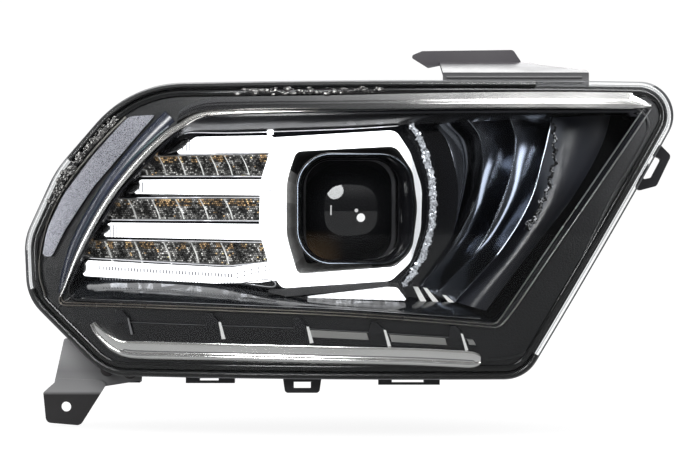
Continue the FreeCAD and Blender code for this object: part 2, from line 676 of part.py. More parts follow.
def make_bowl():
    wall = number("bowl_wall")
    y0, y1, mouth, neck, middle, waist = bowl_profile(0.0)

    def spot(y, radius):
        return Vector(AXIS.x, y, AXIS.z + radius)

    inner = Part.Arc(spot(y0, mouth), spot(middle, waist), spot(y1, neck)).toShape()
    outer = Part.Arc(spot(y0, mouth + wall), spot(middle, waist + wall), spot(y1, neck + wall)).toShape()
    edges = [inner, Part.makeLine(spot(y1, neck), spot(y1, neck + wall)), outer,
             Part.makeLine(spot(y0, mouth + wall), spot(y0, mouth))]
    face = Part.Face(Part.Wire(Part.__sortEdges__(edges)))
    feature("reflector_bowl", face.revolve(AXIS, Vector(0, 1, 0), 360))


def make_bulb():
    back = number("flange_back") + number("bowl_length")
    turned("bulb_retainer", AXIS, [(back, 8.2), (back, 18.0), (back + 6.0, 18.0), (back + 6.0, 8.2)])
    turned("bulb_base", AXIS, [(back - 4.0, 0.0), (back - 4.0, 8.0), (back + 6.0, 8.0), (back + 6.0, 15.0),
                               (back + 10.0, 15.0), (back + 10.0, 10.0), (back + 24.0, 10.0),
                               (back + 24.0, 0.0)])
    turned("bulb_capsule", AXIS, [(back - 34.0, 0.0), (back - 34.0, 3.5), (back - 30.0, 5.0),
                                  (back - 12.0, 5.0), (back - 8.0, 3.5), (back - 4.0, 3.5),
                                  (back - 4.0, 0.0)])


def make_shutter():
    x, z = AXIS.x, AXIS.z
    y = number("shutter_axis_y")
    drop = number("shutter_axis_drop")
    half = number("shutter_wall") / 2
    arm = number("crank_arm")
    blade = face_of([(x - 30, z - 2.0, 1.0), (x - 30, z - drop + 1, 1.0), (x + 30, z - drop + 1, 1.0),
                     (x + 30, z + 0.5, 1.0), (x + 3, z + 0.5, 1.0), (x - 2, z - 2.0, 1.0)])
    blade = prism(blade, y - half, y + half)
    sleeves = [rod((x + x0, y, z - drop), (x + x1, y, z - drop), 2.8)
               for x0, x1 in ((-30, -20), (20, 30), (-5, 5))]
    crank = box((x - 1, y - 0.9, z - drop - arm), (x + 1, y + 0.9, z - drop))
    tip = rod((x - 4, y, z - drop - arm), (x + 4, y, z - drop - arm), 1.4)
    bore = rod((x - 40, y, z - drop), (x + 40, y, z - drop), number("shutter_axle") + 0.06)
    clear = [box((x - 20, y - 4, z - drop - 3), (x - 5, y + 4, z - drop + 2.2)),
             box((x + 5, y - 4, z - drop - 3), (x + 20, y + 4, z - drop + 2.2))]
    shape = blade.cut(clear).fuse(sleeves + [crank, tip]).cut(bore).removeSplitter()
    feature("cutoff_shutter", shape)
    low = z - drop - arm
    rod_radius = number("plunger_radius")
    stem = rod((x, -27.0, low), (x, y - 4.5, low), rod_radius)
    fork = [box((x - 5.5, y - 5.5, low - 3.5), (x + 5.5, y - 3.5, low + 3.5))]
    for side in (-1, 1):
        near = x + side * 1.8
        far = x + side * 5.5
        left = min(near, far)
        right = max(near, far)
        fork.append(box((left, y - 3.6, low - 3.5), (right, y - 1.7, low + 3.5)))
        fork.append(box((left, y + 1.7, low - 3.5), (right, y + 3.5, low + 3.5)))
        edge = (min(far, far - side), max(far, far - side))
        fork.append(box((edge[0], y - 3.6, low - 3.5), (edge[1], y + 3.5, low + 3.5)))
    feature("solenoid_plunger", stem.fuse(fork).removeSplitter())
    coil = rod((x, -36.0, low), (x, -14.0, low), number("coil_radius"))
    pedestal = box((x - 7, -36.0, z - 40.0), (x + 7, -14.0, low - 3.0))
    bore = rod((x, -34.0, low), (x, -13.0, low), rod_radius + number("loose_fit"))
    feature("shutter_solenoid", coil.fuse(pedestal).cut(bore).removeSplitter())


# ---------------------------------------------------------------- aiming frame and adjusters


def make_aim_frame():
    x, z = AXIS.x, AXIS.z
    half_w = number("frame_half_width")
    half_h = number("frame_half_height")
    pivot = number("pivot_y")
    half = number("frame_thick") / 2
    ring = square_prism(half_w, half_h, 6.0, pivot - half, pivot + half).cut(
        square_prism(half_w - 7, half_h - 11, 10.0, pivot - half - 1, pivot + half + 1))
    pin = number("pitch_pin")
    pins = [rod((x + side * (half_w - 1), pivot, z), (x + side * (half_w + 13), pivot, z), pin)
            for side in (-1, 1)]
    px, pz = PITCH_BALL
    cup = box((px - 9, pivot - 9, pz - 9), (px + 9, pivot + 5, pz + 8))
    socket = Part.makeSphere(number("ball_radius") + number("ball_fit"), Vector(px, pivot, pz))
    mouth = rod((px, pivot, pz), (px, pivot + 10, pz), 5.6)
    holes = [rod((x, pivot, z + side * (half_h - 13)), (x, pivot, z + side * (half_h + 2)),
                 number("yaw_pin") + number("running_fit")) for side in (-1, 1)]
    frame = ring.fuse(pins + [cup]).cut([socket, mouth] + holes).removeSplitter()
    feature("aim_frame", frame)


def make_adjusters():
    pivot = number("pivot_y")
    back = number("bulge_back")
    radius = number("screw_radius")
    for name, (x, z) in (("side_aim", YAW_BALL), ("height_aim", PITCH_BALL)):
        sphere = Part.makeSphere(number("ball_radius"), Vector(x, pivot, z))
        neck = rod((x, pivot, z), (x, pivot + 16, z), 3.2)
        sleeve = rod((x, pivot + 14, z), (x, pivot + 62, z), number("nut_radius"))
        bore = rod((x, pivot + 22, z), (x, pivot + 70, z), radius + number("loose_fit"))
        feature(name + "_nut", sphere.fuse([neck, sleeve]).cut(bore).removeSplitter())
        turned(name + "_screw", Vector(x, 0, z),
               [(pivot + 32.0, 0.0), (pivot + 32.0, "screw_radius"), (back + 4.4, "screw_radius"),
                (back + 4.4, "knob_radius"), (back + 11.0, "knob_radius"), (back + 11.0, 4.0),
                (back + 16.0, 4.0), (back + 16.0, 0.0)])


# ---------------------------------------------------------------- rear cap, connector, vent and driver


def make_cap():
    back = number("bulge_back")
    end = back + number("port_length")
    outer = number("cap_radius")
    wall = number("cap_wall")
    collar = number("port_radius") + number("port_wall")
    body = turned("rear_access_cap", AXIS, [
        (end + 0.4, 0.0), (end + 0.4, outer - wall), (back + 3.0, outer - wall), (back + 3.0, "cap_radius"),
        (end + 0.4 + wall, "cap_radius"), (end + 0.4 + wall, 30.0), (end + 6.0, 30.0), (end + 6.0, 0.0)])
    grip = new_sketch(body, "cap_grip", "XZ_Plane", -(end + 5.5))
    closed_profile(grip, [(-26.0, -3.0), (-26.0, 3.0), (26.0, 3.0), (26.0, -3.0)])
    pad = body.newObject("PartDesign::Pad", "cap_grip_pad")
    pad.Profile = grip
    pad.Length = 11.0
    pad.Reversed = True
    doc.recompute()
    turned("rear_cap_gasket", AXIS, [(back + 5.0, collar + 0.05), (back + 5.0, outer - wall),
                                     (end - 1.0, outer - wall), (end - 1.0, collar + 0.05)])


def make_connector():
    x, z = SOCKET
    back = number("tub_back")
    half_w = number("socket_width") / 2
    half_h = number("socket_height") / 2
    deep = number("socket_depth")
    flange = box((x - half_w - 4, back, z - half_h - 4), (x + half_w + 4, back + 2.5, z + half_h + 4))
    wall = box((x - half_w, back, z - half_h), (x + half_w, back + deep, z + half_h))
    inside = box((x - half_w + 2, back + 3, z - half_h + 2),
                 (x + half_w - 2, back + deep + 1, z + half_h - 2))
    plug = box((x - half_w + 2.2, back - 4, z - half_h + 2.2), (x + half_w - 2.2, back + 1, z + half_h - 2.2))
    lug = box((x - 4, back + 8, z + half_h - 1), (x + 4, back + 16, z + half_h + 3))
    pins = []
    for column in range(5):
        for row in (-1, 1):
            px = x - 9.0 + 4.5 * column
            pz = z + 3.2 * row
            size = number("pin_half")
            pins.append(box((px - size, back - 8, pz - size), (px + size, back + 16, pz + size)))
    body = flange.fuse([wall, plug, lug]).cut([inside] + pins).removeSplitter()
    feature("connector_socket", body)
    feature("connector_pins", Part.makeCompound(pins))


def make_vent():
    back = number("tub_back")
    turned("breather_vent", Vector(120.0, 0, 214.0), [
        (back + 8.0, 0.0), (back + 8.0, 12.0), (back + 12.0, 12.0), (back + 15.0, 9.0), (back + 15.0, 0.0)])


def make_driver():
    back = number("tub_back")
    low = (62.0, back, 104.0)
    high = (108.0, back + 16.0, 176.0)
    case = box(low, high)
    for x in range(6):
        fin = 66.0 + 7.0 * x
        case = case.fuse(box((fin, high[1] - 0.5, 108.0), (fin + 2.0, high[1] + 5.0, 172.0)))
    ears = [box((low[0] + 17, low[1], z), (low[0] + 29, low[1] + 3, z + 10)) for z in (low[2] - 10, high[2])]
    case = case.fuse(ears).removeSplitter()
    feature("led_driver", case)


def make_fasteners():
    spots, head = make_screws()
    back = number("tub_back")
    pieces = []
    for start, way, length in spots:
        first = Vector(*start)
        direction = Vector(*way)
        pieces.append(hex_head(first, direction, head, 4.0))
    feature("bracket_screws", Part.makeCompound(pieces))


def hex_head(base, way, width, height):
    ring = Part.makeCylinder(width, height * 0.35, base, way)
    corners = []
    side = Vector(0, 1, 0).cross(way)
    if side.Length < 0.1:
        side = Vector(1, 0, 0).cross(way)
    side.normalize()
    other = way.cross(side)
    for i in range(7):
        turn = math.radians(60 * (i % 6))
        corners.append(base + way * (height * 0.35) + side * (math.cos(turn) * width * 0.8)
                       + other * (math.sin(turn) * width * 0.8))
    head = Part.Face(Part.makePolygon(corners)).extrude(way * (height * 0.65))
    return ring.fuse(head)


def build():
    make_outer_lens()
    make_housing()
    make_seal()
    make_outer_bezel()
    make_trims()
    make_inner_bezel()
    make_gills()
    make_shroud()
    make_guides()
    make_halo_wall()
    make_pockets()
    make_led_boards()
    make_blade()
    make_lower_bracket()
    make_upper_bracket()
    clips = make_clips()
    feature("lens_clips", Part.makeCompound([solid for clip in clips for solid in clip.Solids]))
    make_fasteners()
    make_projector()
    make_bowl()
    make_bulb()
    make_shutter()
    make_aim_frame()
    make_adjusters()
    make_cap()
    make_connector()
    make_vent()
    make_driver()


def write_parts():
    doc.recompute()
    os.makedirs("parts", exist_ok=True)
    for old in os.listdir("parts"):
        os.remove(os.path.join("parts", old))
    for obj in doc.Objects:
        state = [word for word in obj.State if word in ("Invalid", "Error")]
        if state:
            raise RuntimeError(obj.Name + " " + str(obj.State))
        if obj.TypeId not in ("PartDesign::Body", "Part::Feature"):
            continue
        shape = obj.Shape
        if shape.isNull() or not shape.isValid():
            raise RuntimeError(obj.Label + " has no valid shape")
        if not shape.Solids:
            raise RuntimeError(obj.Label + " has no solid")
        shape.exportStep("parts/" + obj.Label + ".step")


build()
write_parts()
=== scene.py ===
import json
import math

import bpy
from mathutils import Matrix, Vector
from mathutils.geometry import delaunay_2d_cdt

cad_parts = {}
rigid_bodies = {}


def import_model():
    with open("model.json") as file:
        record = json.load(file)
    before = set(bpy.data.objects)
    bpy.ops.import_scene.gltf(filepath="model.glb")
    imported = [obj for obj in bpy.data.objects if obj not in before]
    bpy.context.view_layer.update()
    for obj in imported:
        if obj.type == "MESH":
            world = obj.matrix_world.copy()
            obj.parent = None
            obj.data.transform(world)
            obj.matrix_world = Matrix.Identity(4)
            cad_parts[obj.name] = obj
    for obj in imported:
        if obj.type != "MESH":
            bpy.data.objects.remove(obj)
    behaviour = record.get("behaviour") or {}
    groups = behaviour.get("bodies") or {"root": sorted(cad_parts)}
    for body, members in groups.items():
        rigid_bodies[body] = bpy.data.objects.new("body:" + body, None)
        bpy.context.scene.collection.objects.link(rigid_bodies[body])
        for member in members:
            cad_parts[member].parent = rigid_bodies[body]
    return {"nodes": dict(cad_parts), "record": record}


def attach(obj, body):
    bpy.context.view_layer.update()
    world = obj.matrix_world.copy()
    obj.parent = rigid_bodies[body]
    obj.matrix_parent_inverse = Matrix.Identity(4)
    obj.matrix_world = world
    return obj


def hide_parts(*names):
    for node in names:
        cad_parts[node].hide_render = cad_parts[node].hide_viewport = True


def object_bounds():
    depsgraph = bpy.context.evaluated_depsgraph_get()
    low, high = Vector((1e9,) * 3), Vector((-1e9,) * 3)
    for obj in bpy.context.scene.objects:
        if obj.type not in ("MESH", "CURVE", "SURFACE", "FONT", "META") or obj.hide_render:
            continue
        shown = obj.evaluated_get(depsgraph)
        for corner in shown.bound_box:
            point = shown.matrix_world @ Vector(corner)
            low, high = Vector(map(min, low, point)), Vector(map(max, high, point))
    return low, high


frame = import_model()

CAD_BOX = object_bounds()
NODES = frame["nodes"]
MM = 0.001
DOME_R, DOME_X, DOME_Y, DOME_Z = 700.0, 300.0, 590.0, 150.0
SHARP = 35.0  # degrees
BEVEL_STEPS = 3
SHEET = 1.2  # thickness of the window's inner sheets


# ------------------------------------------------------------------ shapes (all sizes in mm)

def dome(x, z, gap):
    """y of the point on the cover's surface, moved back by gap."""
    return DOME_Y - math.sqrt((DOME_R - gap) ** 2 - (x - DOME_X) ** 2 - (z - DOME_Z) ** 2)


def rounded(corners, steps=10):
    """Points of an outline with rounded corners; each corner is (x, z, radius)."""
    out = []
    count = len(corners)
    for i, (x, z, radius) in enumerate(corners):
        here = Vector((x, z))
        a = (Vector(corners[i - 1][:2]) - here).normalized()
        b = (Vector(corners[(i + 1) % count][:2]) - here).normalized()
        half = a.angle(b) / 2
        if radius <= 0 or half > math.pi / 2 - 0.01:
            out.append(here)
            continue
        reach = radius / math.tan(half)
        middle = here + (a + b).normalized() * (radius / math.sin(half))
        start = here + a * reach - middle
        end = here + b * reach - middle
        turn = start.angle_signed(end)
        for k in range(steps + 1):
            angle = -turn * k / steps
            c, s = math.cos(angle), math.sin(angle)
            out.append(middle + Vector((start.x * c - start.y * s, start.x * s + start.y * c)))
    return out


def resample(points, step, closed=False):
    """Evenly spaced points along a run of points."""
    pts = [Vector(p[:2]) for p in points]
    if closed:
        pts = pts + [pts[0]]
    lengths = [0.0]
    for a, b in zip(pts, pts[1:]):
        lengths.append(lengths[-1] + (b - a).length)
    total = lengths[-1]
    count = max(2, int(round(total / step)))
    out = []
    k = 0
    for i in range(count if closed else count + 1):
        want = total * i / count
        while k < len(pts) - 2 and lengths[k + 1] < want:
            k += 1
        span = max(lengths[k + 1] - lengths[k], 1e-9)
        out.append(pts[k].lerp(pts[k + 1], min(1.0, (want - lengths[k]) / span)))
    return out


def smooth(points, per=10):
    """A smooth open curve through the points."""
    pts = [Vector(p) for p in points]
    pts = [pts[0] * 2 - pts[1]] + pts + [pts[-1] * 2 - pts[-2]]
    out = []
    for i in range(1, len(pts) - 2):
        a, b, c, d = pts[i - 1:i + 3]
        for k in range(per):
            t = k / per
            out.append(0.5 * (2 * b + (c - a) * t + (2 * a - 5 * b + 4 * c - d) * t * t
                              + (3 * b - a - 3 * c + d) * t * t * t))
    out.append(pts[-2])
    return out


def normals(path, closed):
    """The left-hand normal at each point of a path."""
    out = []
    count = len(path)
    for i in range(count):
        a = path[i - 1] if (closed or i > 0) else path[i]
        b = path[(i + 1) % count] if (closed or i < count - 1) else path[i]
        way = (b - a).normalized()
        out.append(Vector((-way.y, way.x)))
    return out


def inset(loop, amount):
    """A closed outline moved inward, for outlines that run clockwise or not."""
    area = sum(a.x * b.y - b.x * a.y for a, b in zip(loop, loop[1:] + loop[:1]))
    sign = 1.0 if area > 0 else -1.0
    return [p + n * (amount * sign) for p, n in zip(loop, normals(loop, True))]


def inside(x, z, loop):
    """Whether a point is inside a closed outline."""
    hit = False
    for a, b in zip(loop, loop[1:] + loop[:1]):
        if (a.y > z) != (b.y > z) and x < (b.x - a.x) * (z - a.y) / (b.y - a.y) + a.x:
            hit = not hit
    return hit


def make_object(name, verts, faces, material, body="housing", sharp=SHARP):
    """A piece from points in mm; edges sharper than `sharp` degrees stay crisp."""
    mesh = bpy.data.meshes.new(name)
    mesh.from_pydata([(x * MM, y * MM, z * MM) for x, y, z in verts], [], faces)
    mesh.validate()
    obj = bpy.data.objects.new(name, mesh)
    bpy.context.scene.collection.objects.link(obj)
    mesh.materials.append(material)
    for poly in mesh.polygons:
        poly.use_smooth = True
    mesh.set_sharp_from_angle(angle=math.radians(sharp))
    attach(obj, body)
    return obj


def loft(rings, closed=False, flip=False):
    """Points and faces of a skin over closed rings; the ends are capped unless it closes on itself."""
    wide, rows = len(rings[0]), len(rings)
    faces = []
    for i in range(rows if closed else rows - 1):
        for k in range(wide):
            a, b = i * wide + k, i * wide + (k + 1) % wide
            after = ((i + 1) % rows - i) * wide
            faces.append([a, b, b + after, a + after])
    if not closed:
        faces.append(list(range(wide))[::-1])
        faces.append([(rows - 1) * wide + k for k in range(wide)])
    if flip:
        faces = [face[::-1] for face in faces]
    return [v for ring in rings for v in ring], faces


def on_cover(spots):
    """Points of (x, z, gap) set behind the cover by their gap."""
    return [(x, dome(x, z, gap), z) for x, z, gap in spots]


def ribbon(rows, cols):
    """Two triangles for each cell of a grid of points."""
    faces = []
    for i in range(rows - 1):
        for k in range(cols - 1):
            a = i * cols + k
            faces.append([a, a + 1, a + cols + 1])
            faces.append([a, a + cols + 1, a + cols])
    return faces


def thicken(obj, thickness):
    """Gives depth to a skin."""
    solid = obj.modifiers.new("depth", "SOLIDIFY")
    solid.thickness = thickness * MM
    solid.offset = -1.0


def gather(shapes):
    """Several skins in one piece."""
    verts, faces = [], []
    for points, skin in shapes:
        first = len(verts)
        verts += points
        faces += [[first + k for k in face] for face in skin]
    return verts, faces


def bevel(obj, width):
    """Rounds the edges of a piece."""
    mod = obj.modifiers.new("edge", "BEVEL")
    mod.width = width * MM
    mod.segments = BEVEL_STEPS
    mod.limit_method = "ANGLE"
    mod.angle_limit = math.radians(SHARP)
    mod.harden_normals = True


def slab(name, loops, front, back, material, step=6.0, edge=0.5):
    """A curved plate that follows the cover: loops are its outline and then its holes."""
    loops = [[Vector(p) for p in loop] for loop in loops]
    points = []
    borders = []
    for loop in loops:
        first = len(points)
        points += loop
        borders += [(first + i, first + (i + 1) % len(loop)) for i in range(len(loop))]
    xs = [p.x for p in loops[0]]
    zs = [p.y for p in loops[0]]
    grid_x = int((max(xs) - min(xs)) / step) + 1
    grid_z = int((max(zs) - min(zs)) / step) + 1
    near = inset(loops[0], step * 0.4)
    for i in range(grid_x):
        for k in range(grid_z):
            x = min(xs) + (i + 0.5) * step
            z = min(zs) + (k + 0.5) * step
            if inside(x, z, near) and not any(inside(x, z, hole) for hole in loops[1:]):
                points.append(Vector((x, z)))
    verts, _, tris, _, _, _ = delaunay_2d_cdt(points, borders, [], 0, 1e-4)
    keep = []
    for tri in tris:
        c = sum((verts[i] for i in tri), Vector((0.0, 0.0))) / len(tri)
        if inside(c.x, c.y, loops[0]) and not any(inside(c.x, c.y, hole) for hole in loops[1:]):
            keep.append(list(tri))
    count = len(verts)
    spots = [(v.x, dome(v.x, v.y, front), v.y) for v in verts]
    spots += [(v.x, dome(v.x, v.y, back), v.y) for v in verts]
    faces = []
    rim = {}
    for tri in keep:
        a, b, c = (verts[i] for i in tri[:3])
        if (b - a).cross(c - a) < 0:
            tri = tri[::-1]
        faces.append(tri)
        faces.append([i + count for i in tri[::-1]])
        for i, j in zip(tri, tri[1:] + tri[:1]):
            if (j, i) in rim:
                del rim[(j, i)]
            else:
                rim[(i, j)] = True
    for i, j in rim:
        faces.append([j, i, i + count, j + count])
    obj = make_object(name, spots, faces, material)
    if edge:
        bevel(obj, edge)
    return obj


def sweep(name, path, profile, material, closed=False, scale=None, sharp=SHARP):
    """A profile of (sideways, gap) points carried along a path that follows the cover."""
    rings = []
    for i, (p, n) in enumerate(zip(path, normals(path, closed))):
        grow = scale(i / (len(path) - 1)) if scale else 1.0
        spots = [(p.x + n.x * off * grow, p.y + n.y * off * grow, gap) for off, gap in profile]
        rings.append(on_cover(spots))
    return make_object(name, *loft(rings, closed), material, sharp=sharp)


def outline(corners, steps, step):
    """An evenly spaced closed outline with rounded corners."""
    return resample(rounded(corners, steps), step, True)


def bead(half, top, bottom, steps=8):
    """A half-round profile: half width, and gaps at its crest and its foot."""
    pts = []
    for k in range(steps + 1):
        angle = math.pi * k / steps
        pts.append((-half * math.cos(angle), bottom + (top - bottom) * math.sin(angle)))
    return pts


# ------------------------------------------------------------------ materials

class Look:
    """A node material: a Principled shader and short ways to feed it."""

    def __init__(self, name, color=(0.5, 0.5, 0.5), rough=0.5, metal=0.0):
        self.mat = bpy.data.materials.new(name)
        self.mat.use_nodes = True
        self.tree = self.mat.node_tree
        self.shader = self.tree.nodes["Principled BSDF"]
        self.out = self.tree.nodes["Material Output"]
        self.set("Base Color", (*color, 1.0))
        self.set("Roughness", rough)
        self.set("Metallic", metal)
        self.coords = self.node("ShaderNodeTexCoord")

    def node(self, kind, **values):
        made = self.tree.nodes.new(kind)
        for key, value in values.items():
            setattr(made, key, value)
        return made

    def link(self, a, b):
        self.tree.links.new(a, b)

    def set(self, socket, value):
        self.shader.inputs[socket].default_value = value

    def noise(self, scale, detail=3.0, stretch=None):
        tex = self.node("ShaderNodeTexNoise")
        tex.inputs["Scale"].default_value = scale
        tex.inputs["Detail"].default_value = detail
        self.link(self.place(stretch), tex.inputs["Vector"])
        return tex.outputs["Fac"]

    def place(self, stretch):
        if stretch is None:
            return self.coords.outputs["Object"]
        mapping = self.node("ShaderNodeMapping")
        mapping.inputs["Scale"].default_value = stretch
        self.link(self.coords.outputs["Object"], mapping.inputs["Vector"])
        return mapping.outputs["Vector"]

    def cells(self, scale, output="Distance", stretch=None):
        tex = self.node("ShaderNodeTexVoronoi", feature="F1")
        tex.inputs["Scale"].default_value = scale
        self.link(self.place(stretch), tex.inputs["Vector"])
        return tex.outputs[output]

    def waves(self, scale):
        tex = self.node("ShaderNodeTexWave", bands_direction="X")
        tex.inputs["Scale"].default_value = scale
        self.link(self.place(None), tex.inputs["Vector"])
        return tex.outputs["Fac"]

    def split(self, axis):
        """One of the object coordinates, in metres."""
        parts = self.node("ShaderNodeSeparateXYZ")
        self.link(self.coords.outputs["Object"], parts.inputs[0])
        return parts.outputs[axis]

    def multiply(self, a, b, amount):
        mix = self.node("ShaderNodeMix", data_type="RGBA", blend_type="MULTIPLY")
        mix.inputs["Factor"].default_value = amount
        self.link(a, mix.inputs["A"])
        self.link(b, mix.inputs["B"])
        return mix.outputs["Result"]

    def glow(self, source, strength):
        self.link(source, self.shader.inputs["Emission Color"])
        self.set("Emission Strength", strength)

    def ramp(self, source, stops):
        ramp = self.node("ShaderNodeValToRGB")
        elements = ramp.color_ramp.elements
        while len(elements) < len(stops):
            elements.new(0.5)
        for element, (spot, color) in zip(elements, stops):
            element.position = spot
            element.color = (*color, 1.0)
        self.link(source, ramp.inputs["Fac"])
        return ramp.outputs["Color"]

    def range(self, source, low, high, start=0.0, stop=1.0):
        fit = self.node("ShaderNodeMapRange")
        fit.inputs["From Min"].default_value = start
        fit.inputs["From Max"].default_value = stop
        fit.inputs["To Min"].default_value = low
        fit.inputs["To Max"].default_value = high
        self.link(source, fit.inputs["Value"])
        return fit.outputs["Result"]

    def math(self, kind, a, b):
        made = self.node("ShaderNodeMath", operation=kind)
        for socket, value in zip(made.inputs, (a, b)):
            if isinstance(value, (int, float)):
                socket.default_value = value
            else:
                self.link(value, socket)
        return made.outputs[0]

    def color(self, source):
        self.link(source, self.shader.inputs["Base Color"])
        return self

    def rough(self, source, low, high, start=0.3, stop=0.7):
        self.link(self.range(source, low, high, start, stop), self.shader.inputs["Roughness"])
        return self

    def bump(self, source, depth, strength=1.0):
        made = self.node("ShaderNodeBump")
        made.inputs["Distance"].default_value = depth * MM
        made.inputs["Strength"].default_value = strength
        self.link(source, made.inputs["Height"])
        previous = self.shader.inputs["Normal"]
        if previous.is_linked:
            self.link(previous.links[0].from_socket, made.inputs["Normal"])
        self.link(made.outputs["Normal"], previous)
        return self


def surface(name, color, rough, metal_part, scale, stretch, grain, spread, swing, patch):
    """A finish with fine relief, and with tone and gloss that drift over patches."""
    look = Look(name, color, rough, metal_part)
    fine = look.noise(scale, 2.0, stretch)
    broad = look.noise(patch)
    low = tuple(c * (1 - spread) for c in color)
    high = tuple(min(1.0, c * (1 + spread)) for c in color)
    look.color(look.ramp(broad, [(0.3, low), (0.7, high)]))
    look.rough(broad, rough * (1 - swing), min(1.0, rough * (1 + swing)))
    look.bump(fine, grain)
    return look


def plastic(name, color, rough, grain=0.12, scale=900.0, spread=0.25):
    """Moulded or painted surface."""
    return surface(name, color, rough, 0.0, scale, None, grain, spread, 0.15, 14.0)


def metal(name, color, rough, grain=0.02, scale=500.0, stretch=None, spread=0.08):
    """Plated or bare metal; a stretch draws its grain out into streaks."""
    return surface(name, color, rough, 1.0, scale, stretch, grain, spread, 0.2, 9.0)


def clear(name, tint, rough, ior=1.5, body=0.0, wave=0.0):
    """See-through plastic or glass: a clear shader under a gloss that grows toward the edges."""
    look = Look(name, tint, rough)
    see = look.node("ShaderNodeBsdfTransparent")
    see.inputs["Color"].default_value = (*tint, 1.0)
    look.set("IOR", ior)
    look.set("Base Color", (*[c * 0.9 for c in tint], 1.0))
    fresnel = look.node("ShaderNodeFresnel")
    fresnel.inputs["IOR"].default_value = ior
    amount = look.math("ADD", fresnel.outputs[0], body)
    gloss = look.node("ShaderNodeBsdfGlossy")
    gloss.inputs["Roughness"].default_value = rough
    gloss.inputs["Color"].default_value = (0.95, 0.96, 0.97, 1.0)
    haze = look.noise(30.0, 2.0)
    look.link(look.range(haze, rough, rough + 0.03), gloss.inputs["Roughness"])
    if wave:
        made = look.node("ShaderNodeBump")
        made.inputs["Distance"].default_value = wave * MM
        look.link(look.noise(60.0, 2.0), made.inputs["Height"])
        look.link(made.outputs["Normal"], gloss.inputs["Normal"])
    mix = look.node("ShaderNodeMixShader")
    look.link(amount, mix.inputs["Fac"])
    look.link(see.outputs[0], mix.inputs[1])
    look.link(gloss.outputs[0], mix.inputs[2])
    look.link(mix.outputs[0], look.out.inputs["Surface"])
    look.tree.nodes.remove(look.shader)
    return look


def lit(name, strength, tick=0.0, depth=0.25, floor=0.8):
    """A glowing light guide; tick is how many optic cuts there are to a metre."""
    look = Look(name, (0.9, 0.91, 0.93), 0.25)
    soft = look.noise(55.0, 2.0)
    shade = look.ramp(soft, [(0.35, (floor, floor, floor * 1.02)), (0.6, (1.0, 1.0, 1.0))])
    if tick:
        cut = look.waves(tick)
        lines = look.ramp(cut, [(0.0, (1 - depth,) * 3), (0.35, (1.0, 1.0, 1.0))])
        shade = look.multiply(shade, lines, 1.0)
        look.bump(cut, 0.3)
    look.glow(shade, strength)
    return look


HALO_GLOW = 2.2
# colour, roughness, depth of the grain in mm, scale of the grain, spread of the tone
PLASTICS = {
    "housing": ((0.030, 0.031, 0.033), 0.5, 0.10, 700.0),
    "sealant": ((0.012, 0.012, 0.012), 0.32, 0.5, 130.0),
    "bezel_black": ((0.0065, 0.0065, 0.0075), 0.42, 0.30, 620.0, 0.35),
    "rim_black": ((0.006, 0.006, 0.006), 0.14, 0.02, 200.0),
    "inner_black": ((0.006, 0.0065, 0.008), 0.10, 0.01, 90.0),
    "shroud_black": ((0.007, 0.007, 0.009), 0.13, 0.01, 120.0),
    "frame_black": ((0.008, 0.008, 0.010), 0.15, 0.01, 120.0),
    "tab_paint": ((0.075, 0.07, 0.072), 0.55, 0.12, 1400.0, 0.2),
    "clip_plastic": ((0.016, 0.016, 0.018), 0.35, 0.04, 600.0),
    "connector_plastic": ((0.035, 0.035, 0.037), 0.42, 0.06, 800.0),
    "vent_rubber": ((0.015, 0.015, 0.016), 0.7, 0.10, 500.0),
    "bulb_ceramic": ((0.62, 0.57, 0.49), 0.65, 0.06, 700.0, 0.08),
    "solenoid": ((0.06, 0.06, 0.065), 0.35, 0.05, 300.0),
    "frame_plastic": ((0.05, 0.05, 0.053), 0.5, 0.10, 700.0),
    "nut_plastic": ((0.72, 0.71, 0.66), 0.4, 0.04, 500.0, 0.05),
    "cap_plastic": ((0.028, 0.028, 0.030), 0.42, 0.08, 700.0),
    "circuit_board": ((0.01, 0.07, 0.035), 0.35, 0.10, 260.0),
    "ridge_black": ((0.020, 0.020, 0.021), 0.30, 0.06, 900.0),
    "band_gloss": ((0.010, 0.013, 0.024), 0.26, 0.02, 1500.0, 0.3),
    "ledge_streaks": ((0.008, 0.009, 0.011), 0.13, 0.0, 60.0),
    "optic_cut": ((0.10, 0.10, 0.11), 0.5, 0.02, 200.0, 0.1),
    "pod_gloss": ((0.012, 0.012, 0.013), 0.22, 0.04, 150.0, 0.5),
    # wall_bright also glows: a painted glow on pieces that are not lamps
    "wall_bright": ((0.74, 0.74, 0.72), 0.3, 0.02, 200.0, 0.1),
    "shelf_grey": ((0.07, 0.07, 0.072), 0.35, 0.03, 200.0, 0.3),
    "shelf_gloss": ((0.006, 0.006, 0.007), 0.12, 0.01, 200.0, 0.4),
    "panel_grey": ((0.36, 0.355, 0.34), 0.4, 0.02, 500.0, 0.1),
    "rib_gloss": ((0.010, 0.010, 0.012), 0.08, 0.01, 150.0, 0.4),
    "cheek_gloss": ((0.010, 0.011, 0.016), 0.34, 0.02, 50.0, 0.6),
}
